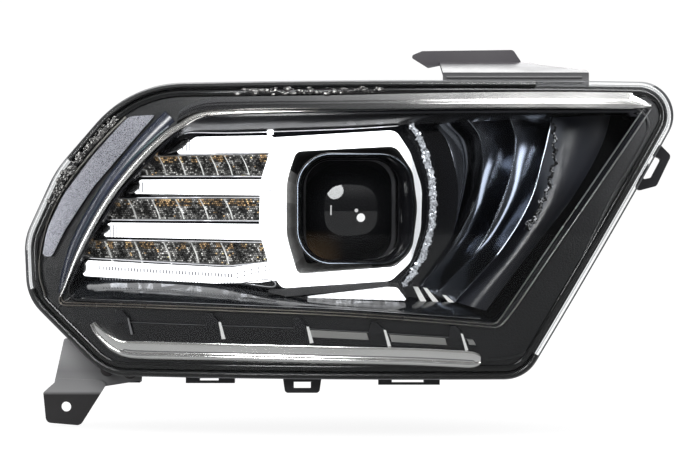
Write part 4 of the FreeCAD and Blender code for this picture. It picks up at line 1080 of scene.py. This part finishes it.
def make_pockets():
    """LED reflectors: trays of small cut facets carrying painted glints and shade, which also glow, with
    glowing bright leaning walls between the cells.
    """
    for order, (name, (corners, walls)) in enumerate(POCKETS.items()):
        loop = outline(corners, 5, 2.0)
        xs = [p.x for p in loop]
        zs = [p.y for p in loop]
        wide, tall = 1.75, 1.5
        verts, faces, tones = [], [], []
        columns = int((max(xs) - min(xs)) / wide) + 1
        rows = int((max(zs) - min(zs)) / tall) + 1
        for i in range(columns):
            for k in range(rows):
                z0 = min(zs) + k * tall
                lean = (min(zs) + (max(zs) - min(zs)) / 2 - z0) * 0.42
                x0 = min(xs) + i * wide + lean
                centre = (x0 + wide / 2, z0 + tall / 2)
                if not inside(centre[0], centre[1], loop):
                    continue
                up = (centre[1] - min(zs)) / (max(zs) - min(zs))
                deep = 41.5
                first = len(verts)
                for dx, dz in ((0.12, 0.14), (0.88, 0.14), (0.88, 0.86), (0.12, 0.86)):
                    x, z = x0 + dx * wide, z0 + dz * tall
                    verts.append((x, dome(x, z, deep + 0.5), z))
                x = centre[0] + (chance(i, k, order) - 0.5) * wide * 0.8
                z = centre[1] + (chance(k, i, order + 5) - 0.5) * tall * 0.8
                verts.append((x, dome(x, z, deep - 0.5), z))
                # Each cell's tone is painted light: a random glint level, a painted dark spot in the middle
                # of each compartment, brighter and dimmer columns, and a warm tint on some cells near the
                # top.
                draw = chance(i, k, order + 9)
                column = chance(i, order + 2)
                upright = centre[0] + 3.3 - 7.0 * (1 - up)
                left = max([w for w in walls if w < upright] or [min(xs)])
                across = (upright - left) / 20.0
                painted_dark_spot = math.exp(-((across - 0.42) / 0.26) ** 2 - ((up - 0.42) / 0.34) ** 2)
                level = (0.03 + 1.15 * draw ** 2.2) * (1.0 - 0.97 * painted_dark_spot) * (0.40 + 0.90 * column)
                level *= 1.0 if chance(int(centre[0] / 9.0), order + 4) > 0.35 else 0.6
                warm = up > 0.62 and chance(int(centre[0] / 5.2), order + 7) > 0.5 and draw > 0.35
                warm = warm or (draw > 0.955 and column > 0.5)
                tint = (1.10, 0.74, 0.40) if warm else (1.0, 0.985, 0.95)
                tone = [level * part for part in tint]
                for edge in range(4):
                    faces.append([first + edge, first + (edge + 1) % 4, first + 4])
                    # painted shade: each side of a cell gets its own share of the light
                    side = FACET_SIDE_SHADE[edge] * (0.7 + 0.6 * chance(i, k, order + 11))
                    tones.append(tuple(min(1.0, c * side + 0.008) for c in tone))
        cells = make_object("pocket_optics_" + name, verts, faces, mat("pocket_facets"), sharp=1.0)
        paint(cells, lambda centre, index, held=tones: held[index])
        base = slab("pocket_tray_" + name, [loop], 43.9, 45.4, mat("mesh_chrome"), 8.0, 0.0)
        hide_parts("led_reflector_" + name)
        sign = side_of(loop)
        rail = ((-0.8, 38.0), (-0.7, 30.8), (0.0, 30.2), (0.6, 31.0), (0.8, 38.0))
        rim = sweep("pocket_rim_" + name, loop, [(x * sign, g) for x, g in rail], mat("line_grey"), True)
        low, high = min(zs) + 1.0, max(zs) - 1.0
        steps = 6
        plates = []
        for x in walls:
            rings = []
            for r in range(steps + 1):
                t = r / steps
                z = high + (low - high) * t
                cx = x - 6.6 + 7.4 * t + 0.9 * math.sin(math.pi * t)
                section = ((-0.36, 37.2), (0.36, 36.8), (0.5, 44.5), (-0.5, 44.5))
                rings.append([(cx + off, dome(cx, z, deep), z) for off, deep in section])
            plates.append(loft(rings))
        walled = make_object("pocket_walls_" + name, *gather(plates), mat("wall_bright"))


def make_halo_inside():
    """Short faceted wall from the halo's inner edge back to the projector's shroud; its facets carry
    painted light and shade, which they also glow with.
    """
    outer = outline(HALO_IN, 10, 3.0)
    middle = Vector((243.5, 166.0))
    count = len(outer)
    verts = on_cover([(p.x, p.y, 25.5) for p in outer])
    for p in outer:
        near = middle + (p - middle) * 0.86
        verts.append((near.x, dome(p.x, p.y, 46.0), near.y))
    faces = [[i, (i + 1) % count, count + (i + 1) % count, count + i] for i in range(count)]
    wall = make_object("halo_inner_facets", verts, faces, mat("facet_wall"), sharp=5.0)
    thicken(wall, 0.8)

    # painted reflections and shade: grey facets on the outboard side, a dim band along the bottom that
    # lightens outboard, near black elsewhere
    def shade(centre, _):
        x, z = centre.x, centre.z
        block = chance(int(z / 9.0), 4.0)
        if x < 205 and 112 < z < 196:
            level = 0.16 + 0.30 * block
        elif z < 122:
            level = 0.07 + 0.05 * chance(int(x / 12.0), 2.0) + 0.20 * max(0.0, (215 - x) / 40.0)
        else:
            level = 0.012
        return (level, level * 0.99, level * 0.97)

    paint(wall, shade)
    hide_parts("halo_inner_wall")


def square_ring(cx, cz, half_w, half_h, radius, y):
    """A rounded rectangle standing at depth y."""
    corners = [(cx - half_w, cz + half_h, radius), (cx - half_w, cz - half_h, radius),
               (cx + half_w, cz - half_h, radius), (cx + half_w, cz + half_h, radius)]
    return [(p.x, y, p.y) for p in rounded(corners, 12)]


def make_shroud():
    """Square funnel of gloss black: a rolled front edge, then a throat narrowing to the projector lens."""
    rings = [square_ring(*values) for values in (
        (245.4, 167.2, 46.0, 43.4, 27.0, -70.0), (245.4, 167.2, 48.0, 45.2, 28.0, -76.0),
        (245.4, 167.2, 48.6, 45.8, 28.5, -79.5), (245.4, 167.2, 48.2, 45.4, 28.0, -81.6),
        (245.4, 167.2, 47.2, 44.6, 27.5, -82.6), (245.2, 167.2, 46.0, 43.7, 27.0, -82.2),
        (245.0, 167.2, 44.9, 42.9, 26.5, -80.6), (244.2, 167.0, 43.2, 42.3, 25.5, -76.0),
        (243.0, 166.6, 41.4, 42.0, 24.5, -70.0), (241.4, 166.4, 39.6, 42.6, 23.0, -62.0),
        (240.4, 166.2, 39.6, 44.4, 22.5, -52.0), (240.4, 166.2, 41.0, 46.0, 23.0, -51.0),
        (243.0, 166.6, 44.0, 43.4, 25.5, -62.0))]
    shroud = make_object("shroud_funnel", *loft(rings, True), mat("shroud_black"), sharp=70.0)
    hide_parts("projector_shroud")
    # painted highlight: a bluish metal ring along the rolled front edge
    trim = [square_ring(*values) for values in (
        (245.4, 167.2, 46.7, 44.2, 27.2, -83.5), (245.4, 167.2, 47.1, 44.6, 27.5, -82.9),
        (245.4, 167.2, 46.2, 43.8, 27.0, -82.9))]
    make_object("shroud_edge_line", *loft(trim, True), mat("edge_blue"), sharp=80.0)
    step = [square_ring(*values) for values in (
        (242.4, 166.4, 39.9, 41.3, 23.4, -69.0), (242.4, 166.4, 40.6, 41.9, 23.8, -68.6),
        (242.2, 166.4, 40.2, 41.7, 23.6, -66.6), (242.2, 166.4, 39.2, 40.8, 23.0, -66.8))]
    make_object("shroud_step_ring", *loft(step, True), mat("shroud_black"), sharp=80.0)


def make_projector_dome():
    """The projector's own lens: ball-fronted glass cut to a rounded square, fine enough for glints."""
    square = [(x, z, LENS_ROUND) for x, z in ((204.5, 207.5), (204.5, 124.5), (275.5, 124.5),
                                              (275.5, 207.5))]
    loop = outline(square, 12, 2.0)
    middle = Vector((240.0, 166.0))
    rows = 30
    rings = []
    for r in range(1, rows + 1):
        ring = []
        for p in loop:
            off = (p - middle) * (r / rows)
            front = LENS_FRONT + LENS_BALL - math.sqrt(LENS_BALL ** 2 - off.length ** 2)
            ring.append((middle.x + off.x, min(front, LENS_BACK - 0.1), middle.y + off.y))
        rings.append(ring)
    rings.append([(p.x, LENS_BACK, p.y) for p in loop])
    glass = make_object("projector_dome", *loft(rings, flip=True), mat("projector_glass"), "projector",
                        40.0)
    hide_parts("projector_lens")


def make_arc():
    """Second guide outside the halo: a narrow ribbon of cut facets with painted glints, which also glow."""
    centre = line([(290.2, 235.4), (297.6, 224.6), (303.3, 207.5), (306.9, 190.3), (308.4, 172.1),
                   (307.1, 153.9),
                   (301.5, 133.4), (294.1, 118.0), (284.4, 104.8)], 1.15)
    sides = normals(centre, False)
    verts = []
    cols = 5
    for i, (p, n) in enumerate(zip(centre, sides)):
        t = i / (len(centre) - 1)
        half = 1.3 + 1.2 * math.sin(math.pi * min(1.0, 0.15 + t * 0.85)) + 0.4 * t
        for k in range(cols):
            off = (k / (cols - 1) * 2 - 1) * half
            if 0 < k < cols - 1:
                off += 0.5 * (chance(i, k, 3) - 0.5)
            x = p.x + n.x * off
            z = p.y + n.y * off + 0.25 * (chance(i, k, 8) - 0.5)
            verts.append((x, dome(x, z, 25.0 + 0.9 * chance(i, k, 1)), z))
    arc = make_object("outer_arc_facets", verts, ribbon(len(centre), cols), mat("arc_facets"), sharp=1.0)

    # painted glints: each facet gets its own brightness, which it also emits
    def shade(_, index):
        level = 0.20 + 0.70 * chance(index, 5.0) ** 1.3
        return (level * 0.94, level * 0.98, level * 1.05)

    paint(arc, shade)
    thicken(arc, 4.0)
    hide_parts("outer_arc_guide")
    for name, shift, half in (("arc_edge_near", -4.2, 0.35), ("arc_edge_far", 4.6, 0.3)):
        path = [p + n * shift for p, n in zip(centre, sides)]
        sweep(name, path, bead(half, 26.0, 28.0, 5), mat("line_dark"))


def make_wedge():
    """Small lit wedge under the halo, the shelf over it and the louvres beside it."""
    wedge = [(206.2, 95.8, 0.6), (271.0, 103.6, 20.0), (279.5, 103.2, 4.0), (287.6, 92.4, 1.0),
             (206.2, 94.6, 0.6)]
    piece = slab("lower_wedge_light", [outline(wedge, 6, 2.0)], 25.2, 31.0, mat("guide_soft"), 4.0, 0.5)
    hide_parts("lower_wedge_guide")
    shelf = [(168.2, 100.4, 1.0), (185.5, 101.6, 8.0), (272.5, 107.6, 6.0), (279.0, 106.4, 2.0),
             (272.5, 104.2, 8.0),
             (206.2, 97.2, 6.0), (189.0, 95.4, 1.0)]
    slab("halo_shelf", [outline(shelf, 6, 2.0)], 25.8, 32.0, mat("shelf_grey"), 4.0, 0.8)
    louvres = [[(292.6, 103.6), (296.6, 103.4), (303.4, 91.6), (298.4, 91.6)],
               [(300.6, 103.0), (304.2, 102.2), (313.4, 91.2), (308.6, 91.2)],
               [(316.4, 96.8), (319.4, 96.4), (326.4, 90.6), (321.6, 90.6)]]
    # painted glow: the louvres are lit up white by wall_bright's emission
    for i, corners in enumerate(louvres):
        piece = slab("lower_louvre_%d" % (i + 1), [corners], 34.0 + i, 40.0, mat("wall_bright"), 4.0, 0.3)


# ------------------------------------------------------------------ gills

GILL_LINES = {
    "base": [(311.0, 236.0), (321.0, 222.0), (327.5, 199.7), (329.6, 177.7), (326.0, 148.4),
             (315.0, 122.4), (298.0, 98.0)],
    "inner": [(336.0, 240.5), (345.5, 228.2), (349.0, 213.6), (348.9, 199.1), (343.8, 174.4),
              (335.0, 155.6),
              (322.0, 133.9), (298.9, 104.0)],
    "middle": [(371.5, 242.0), (375.8, 223.9), (372.3, 196.3), (362.7, 168.7), (349.6, 141.2),
               (332.2, 119.4), (311.0, 97.0)],
    "outer": [(406.5, 243.0), (402.6, 224.1), (398.0, 206.5), (391.2, 181.8), (380.2, 158.5),
              (364.1, 133.9),
              (348.2, 115.1), (327.0, 91.0)],
    "end": [(456.0, 244.0), (450.0, 224.0), (438.0, 200.0), (420.0, 172.0), (398.0, 144.0),
            (376.0, 116.0), (352.0, 84.0)],
}


def even(points, count):
    """A smooth run through the points, as a set count of evenly spaced ones."""
    pts = resample(smooth(points, 14), 0.8)
    return [pts[round(i * (len(pts) - 1) / (count - 1))] for i in range(count)]


def make_gills():
    """Sawtooth petals: each rises forward to a fine edge, then drops back behind the next."""
    order = ["base", "inner", "middle", "outer"]
    count = 56
    cols = 14
    for g, (start, stop) in enumerate(zip(order, order[1:])):
        a = even(GILL_LINES[start], count)
        b = even(GILL_LINES[stop], count)
        verts = []
        for back in (0.0, 1.4):
            for i, (p, q) in enumerate(zip(a, b)):
                along = i / (count - 1)
                for k in range(cols + 1):
                    t = k / cols
                    spot = p.lerp(q, t)
                    front = 21.0 + 1.5 * g + 15.0 * max(0.0, along - 0.72) / 0.28
                    rear = 44.6
                    ripple = 1.3 * math.sin(along * 9.0 + g * 1.7) * math.sin(math.pi * t)
                    gap = rear + (front - rear) * t ** 2.1 + ripple + back
                    gap = min(gap, 45.9)
                    verts.append((spot.x, dome(spot.x, spot.y, gap), spot.y))
        wide = cols + 1
        layer = count * wide
        faces = []
        for i in range(count - 1):
            for k in range(cols):
                v = i * wide + k
                faces.append([v, v + 1, v + wide + 1, v + wide][::-1])
                faces.append([layer + v, layer + v + 1, layer + v + wide + 1, layer + v + wide])
            for v in (i * wide, i * wide + cols):
                faces.append([v, v + wide, layer + v + wide, layer + v])
        for k in range(cols):
            for v in (k, (count - 1) * wide + k):
                faces.append([v, v + 1, layer + v + 1, layer + v])
        petal = make_object("gill_petal_" + stop, verts, faces, mat("black_chrome"), sharp=40.0)
        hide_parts(stop + "_gill")
        edge = [(-0.7, 20.4 + 1.5 * g), (0.0, 20.0 + 1.5 * g), (0.5, 20.6 + 1.5 * g), (0.6, 46.0),
                (-0.2, 46.0)]
        rings = []
        for i, (q, n) in enumerate(zip(b, normals(b, False))):
            push = 15.0 * max(0.0, i / (count - 1) - 0.72) / 0.28
            spots = [(q.x + n.x * off, q.y + n.y * off, min(46.0, gap + push)) for off, gap in edge]
            rings.append(on_cover(spots))
        crest = make_object("gill_edge_" + stop, *loft(rings), mat("edge_chrome"), sharp=50.0)
    a = even(GILL_LINES["outer"], 30)
    b = even(GILL_LINES["end"], 30)
    cheek = ruled("inner_cheek", a, b, mat("cheek_gloss"), 44.0, 30.0, -6.0, 10)


def make_marker():
    """Wavy clear side marker, cut like crystal; its facets carry painted glints, sparser in the upper part,
    which also glow.
    """
    centre = line([(406.4, 236.0), (407.2, 222.0), (406.8, 207.0), (404.2, 193.0), (400.4, 180.0),
                   (394.0, 166.0), (384.0, 150.0)], 1.4)
    sides = normals(centre, False)
    verts = []
    cols = 4
    for i, (p, n) in enumerate(zip(centre, sides)):
        t = i / (len(centre) - 1)
        sway = 1.0 * math.sin(i * 0.9) + 0.6 * math.sin(i * 0.37)
        half = 0.8 + 1.1 * t ** 2 + 0.4 * chance(i, 6.0)
        for k in range(cols):
            off = sway + (k / (cols - 1) * 2 - 1) * half + 0.4 * (chance(i, k) - 0.5)
            x, z = p.x + n.x * off, p.y + n.y * off
            verts.append((x, dome(x, z, 15.0 + 2.6 * chance(i, k, 2.0)), z))
    piece = make_object("marker_crystal", verts, ribbon(len(centre), cols), mat("crystal"), sharp=1.0)

    # painted glints: a few facets bright, fewer above z 190, the rest near black
    def shade(centre, index):
        draw = chance(index, 9.0)
        level = 0.01 + 0.7 * draw ** (9.0 if centre.z > 190 else 5.0)
        return (level, level * 1.01, level * 1.05)

    paint(piece, shade)
    thicken(piece, 1.6)
    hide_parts("side_marker_lens")


# ------------------------------------------------------------------ blade

def make_blade():
    """Half-round bright blade that sweeps up at its outboard end."""
    stations = [(27.5, 72.5, 6.5, 60.0), (31.0, 67.0, 8.6, 52.0), (38.0, 60.3, 10.6, 42.0),
                (46.5, 54.4, 13.2, 30.0),
                (56.0, 51.4, 15.6, 10.0), (70.0, 50.7, 16.6, 2.0), (104.0, 50.4, 16.3, 1.0),
                (149.0, 50.0, 15.8, 1.0),
                (225.0, 48.7, 15.9, 1.2), (285.0, 47.6, 15.9, 2.0), (325.0, 45.8, 15.8, 3.0),
                (338.0, 45.0, 15.4, 3.0),
                (343.5, 44.8, 12.8, 3.0), (346.4, 44.7, 7.5, 3.0)]
    middle = resample(smooth([(x, z) for x, z, _, _ in stations]), 2.0)
    tall = resample(smooth([(x, h) for x, _, h, _ in stations]), 1.0)

    def height(x):
        return min(tall, key=lambda p: abs(p.x - x)).y

    section = [(1.0, 7.2), (1.0, 6.0), (0.96, 4.9), (0.89, 4.2), (0.82, 4.1), (0.76, 4.6), (0.72, 5.3),
               (0.66, 5.6),
               (0.10, 5.9), (-0.20, 5.7), (-0.28, 5.0), (-0.35, 4.2), (-0.44, 3.7), (-0.55, 3.5),
               (-0.66, 3.6),
               (-0.76, 4.0), (-0.85, 4.7), (-0.94, 5.7), (-1.0, 6.6), (-1.0, 7.2)]
    rings = []
    for p, n in zip(middle, normals(middle, False)):
        reach = math.copysign(height(p.x) / 2, n.y)
        spots = [(p.x + n.x * reach * v, p.y + n.y * reach * v, gap) for v, gap in section]
        rings.append(on_cover(spots))
    blade = make_object("blade_bar", *loft(rings), mat("blade_chrome"), sharp=50.0)
    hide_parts("lower_blade")
    shelf = [(48.0, 73.6, 3.0), (193.4, 70.3, 0.0), (255.0, 67.2, 0.0), (318.0, 63.3, 0.0),
             (341.5, 61.4, 1.5), (345.0, 55.0, 3.0),
             (193.4, 57.6, 0.0), (62.0, 58.8, 0.0)]
    slab("blade_shelf", [outline(shelf, 5, 3.0)], 5.6, 7.4, mat("shelf_gloss"), 7.0, 0.5)
    edge = line([(52.0, 74.1), (120.0, 72.4), (193.4, 70.6), (255.0, 67.5), (318.0, 63.6), (340.0, 61.6)])
    sweep("blade_shelf_line", edge, bead(0.32, 4.9, 6.0, 5), mat("line_grey"))
    panels = [[(208.6, 69.1), (254.6, 66.9), (256.2, 61.2), (210.4, 63.2)],
              [(272.6, 65.7), (317.6, 62.9), (319.2, 57.0), (274.6, 59.6)],
              [(335.4, 61.7), (340.4, 61.2), (342.6, 57.0), (337.0, 57.4)]]
    for i, corners in enumerate(panels):
        panel = slab("blade_panel_%d" % (i + 1), [corners[::-1]], 4.7, 6.0, mat("panel_grey"), 6.0, 0.4)
        if i == 0:
            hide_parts("blade_reflectors")
    shapes = [([(46.7, 82.0), (48.0, 84.6), (52.5, 84.4), (58.7, 78.0), (62.3, 63.9), (58.9, 63.3),
                (54.4, 73.7), (47.5, 70.9)],
               [(57.6, 77.6), (58.8, 77.8), (62.4, 64.0), (60.6, 63.6)]),
              ([(122.2, 80.0), (123.6, 82.4), (128.8, 82.2), (135.4, 74.7), (139.4, 61.4), (136.0, 61.2),
                (131.0, 72.0), (122.4, 67.4)],
               [(134.1, 75.2), (136.1, 75.0), (139.8, 61.4), (136.7, 61.0)]),
              ([(194.6, 76.6), (196.0, 79.0), (200.5, 79.0), (207.5, 71.7), (211.0, 58.9), (208.0, 58.3),
                (203.6, 68.2), (194.9, 65.5)],
               [(205.8, 72.0), (207.9, 71.8), (211.6, 58.8), (208.6, 58.2)]),
              ([(256.9, 73.6), (258.2, 76.0), (262.1, 75.8), (269.5, 69.6), (273.7, 56.4), (270.6, 56.0),
                (266.2, 65.8), (255.4, 64.3)],
               [(268.0, 69.6), (270.0, 69.2), (274.2, 56.2), (271.5, 55.8)]),
              ([(320.8, 70.4), (322.0, 72.8), (326.0, 72.8), (331.3, 68.1), (335.8, 53.1), (333.2, 52.7),
                (328.7, 62.9), (320.1, 60.6)],
               [(330.0, 66.6), (331.8, 66.2), (336.3, 53.0), (333.9, 52.6)])]
    for i, (body, edge) in enumerate(shapes):
        rib = slab("blade_rib_%d" % (i + 1), [body], 4.3, 7.0, mat("rib_gloss"), 6.0, 0.5)
        if i == 0:
            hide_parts("blade_ribs")
        # painted highlight: each rib's bright edge is a separate strip, glowing white on all ribs but the
        # first
        bright = slab("blade_rib_edge_%d" % (i + 1), [edge], 3.7, 5.0,
                      mat("line_grey" if i == 0 else "wall_bright"), 6.0, 0.2)


FLANGE_Y = -46.0


def make_bracket_detail():
    """Pressed ribs on the front flange of the upper bracket."""
    steps, round_off = 8, 1.1
    for i, z in enumerate((268.6, 272.6, 276.4)):
        rings = []
        for x in (321.0, 436.0 - 1.5 * i):
            turns = [math.pi * k / steps for k in range(steps + 1)]
            rings.append([(x, FLANGE_Y - round_off * math.sin(turn),
                           z - round_off * math.cos(turn)) for turn in turns])
        rib = make_object("bracket_rib_%d" % (i + 1), *loft(rings), mat("bracket_paint"), sharp=60.0)


PARTS = (make_rim, make_flecks, make_side_band, make_window_trim, make_upper_strip, make_ledges,
         make_lights, make_pockets, make_halo_inside, make_shroud, make_projector_dome, make_arc,
         make_wedge, make_gills, make_marker, make_blade, make_bracket_detail)


# ------------------------------------------------------------------ studio

def aim(obj, spot):
    """Turns a light toward a point."""
    way = Vector(spot) - obj.location
    obj.rotation_mode = "QUATERNION"
    obj.rotation_quaternion = way.to_track_quat("-Z", "Y")


def area(name, where, target, width, height, power, only=None, disc=False):
    """A soft light; `only` keeps it to the pieces whose names start with these words."""
    data = bpy.data.lights.new(name, "AREA")
    data.shape = "DISK" if disc else "RECTANGLE"
    data.size = width
    if not disc:
        data.size_y = height
    data.energy = power
    obj = bpy.data.objects.new(name, data)
    bpy.context.scene.collection.objects.link(obj)
    obj.location = where
    obj.visible_camera = False
    aim(obj, target)
    if only:
        group = bpy.data.collections.new(name + "_lit")
        for piece in bpy.data.objects:
            if piece.type == "MESH" and piece.name.startswith(only):
                group.objects.link(piece)
        obj.light_linking.receiver_collection = group
        obj.light_linking.blocker_collection = group
    return obj


def spare(light, words):
    """Keeps a light off the pieces whose names start with these words."""
    group = bpy.data.collections.new(light.name + "_lit")
    for piece in bpy.data.objects:
        if piece.type == "MESH" and not piece.name.startswith(words):
            group.objects.link(piece)
    light.light_linking.receiver_collection = group


def studio():
    """White paper, soft lights, a pale sky and the camera that stands where the photograph was taken."""
    middle = Vector((0.24, -0.05, 0.15))
    mesh = bpy.data.meshes.new("floor")
    low = CAD_BOX[0].z - 0.0005
    size = 14.0
    mesh.from_pydata([(-size, -size, low), (size, -size, low), (size, size, low), (-size, size, low)], [],
                     [[0, 1, 2, 3]])
    floor = bpy.data.objects.new("floor", mesh)
    bpy.context.scene.collection.objects.link(floor)
    look = Look("floor_paper", (0.30, 0.30, 0.30), 0.9)
    look.color(look.ramp(look.noise(3.0, 2.0), [(0.3, (0.28, 0.28, 0.28)), (0.7, (0.31, 0.31, 0.31))]))
    look.set("Emission Color", (1.0, 1.0, 1.0, 1.0))
    look.set("Specular IOR Level", 0.1)
    path = look.node("ShaderNodeLightPath")
    seen = look.math("MULTIPLY", path.outputs["Is Camera Ray"], 0.90)
    mirrored = look.math("MULTIPLY", path.outputs["Is Glossy Ray"], 0.30)
    look.link(look.math("MAXIMUM", seen, mirrored), look.shader.inputs["Emission Strength"])
    mesh.materials.append(look.mat)

    def toward(azimuth, elevation, distance, centre=middle):
        """A place seen from a point at these angles, in degrees, and this distance, in metres."""
        a, e = math.radians(azimuth), math.radians(elevation)
        return centre + Vector((math.sin(a) * math.cos(e), -math.cos(a) * math.cos(e),
                                math.sin(e))) * distance

    lens = Vector((0.240, -0.055, 0.166))
    scoop = Vector((0.080, -0.060, 0.236))
    strip = Vector((0.400, -0.090, 0.255))
    key = area("key", toward(-24, 31, 1.6), middle, 0.70, 0.70, 14.0, disc=True)
    top = area("top", toward(42, 60, 1.5), middle, 1.1, 0.55, 15.0)
    spare(key, ("outer_lens", "floor", "upper_strip"))
    spare(top, ("floor",))
    spare(area("left_strip", toward(-78, 10, 1.5), middle, 0.30, 1.2, 9.0), ("floor",))
    spare(area("right_strip", toward(62, 22, 1.5), middle, 0.30, 1.3, 12.0), ("floor",))
    spare(area("back_fill", toward(180, 40, 1.8), middle, 1.4, 0.9, 22.0), ("floor", "outer_lens"))
    area("dash", toward(-29, 1, 0.6, lens), lens, 0.025, 0.16, 0.12, ("projector_dome",))
    area("scoop_glow", toward(-32, 10, 0.7, scoop), scoop, 0.30, 0.16, 5.0, ("band_scoop",))
    area("petal_glow", toward(34, 6, 1.3), Vector((0.35, -0.06, 0.17)), 0.45, 0.70, 30.0, ("gill_",))
    area("petal_glow_high", toward(8, 38, 1.3), Vector((0.35, -0.06, 0.17)), 0.16, 0.30, 9.0,
         ("gill_petal",))
    area("strip_glow", toward(17, 22, 1.0, strip), strip, 0.60, 0.10, 3.0, ("upper_strip",))
    area("low_spot", toward(20, -11, 0.5, lens), lens, 0.12, 0.12, 0.60, ("projector_dome",), True)
    area("eye_spot", toward(12, 0.5, 1.2, lens), lens, 0.12, 0.12, 0.40, ("projector_dome",), True)

    world = bpy.data.worlds.new("studio")
    bpy.context.scene.world = world
    world.use_nodes = True
    tree = world.node_tree
    ground = tree.nodes["Background"]
    coords = tree.nodes.new("ShaderNodeTexCoord")
    split = tree.nodes.new("ShaderNodeSeparateXYZ")
    tree.links.new(coords.outputs["Generated"], split.inputs[0])
    height = tree.nodes.new("ShaderNodeValToRGB")
    stops = height.color_ramp.elements
    stops[0].position, stops[0].color = 0.0, (0.10, 0.10, 0.105, 1)
    stops[1].position, stops[1].color = 0.85, (0.85, 0.85, 0.86, 1)
    near = height.color_ramp.elements.new(0.30)
    near.color = (0.16, 0.16, 0.165, 1)
    tree.links.new(split.outputs["Z"], height.inputs["Fac"])
    path = tree.nodes.new("ShaderNodeLightPath")
    mix = tree.nodes.new("ShaderNodeMix")
    mix.data_type = "RGBA"
    mix.inputs["B"].default_value = (1.02, 1.02, 1.02, 1.0)
    tree.links.new(path.outputs["Is Camera Ray"], mix.inputs["Factor"])
    tree.links.new(height.outputs["Color"], mix.inputs["A"])
    tree.links.new(mix.outputs["Result"], ground.inputs["Color"])
    ground.inputs["Strength"].default_value = 1.0

    camera = bpy.data.cameras.new("camera")
    camera.lens = 115.7
    camera.sensor_width = 36.0
    eye = bpy.data.objects.new("camera", camera)
    bpy.context.scene.collection.objects.link(eye)
    eye.location = (0.241, -1.910, 0.147)
    eye.rotation_euler = (math.pi / 2, 0.0, 0.0)
    bpy.context.scene.camera = eye
    bpy.context.scene.view_settings.view_transform = "Standard"


dress_nodes()
for make in PARTS:
    make()
studio()
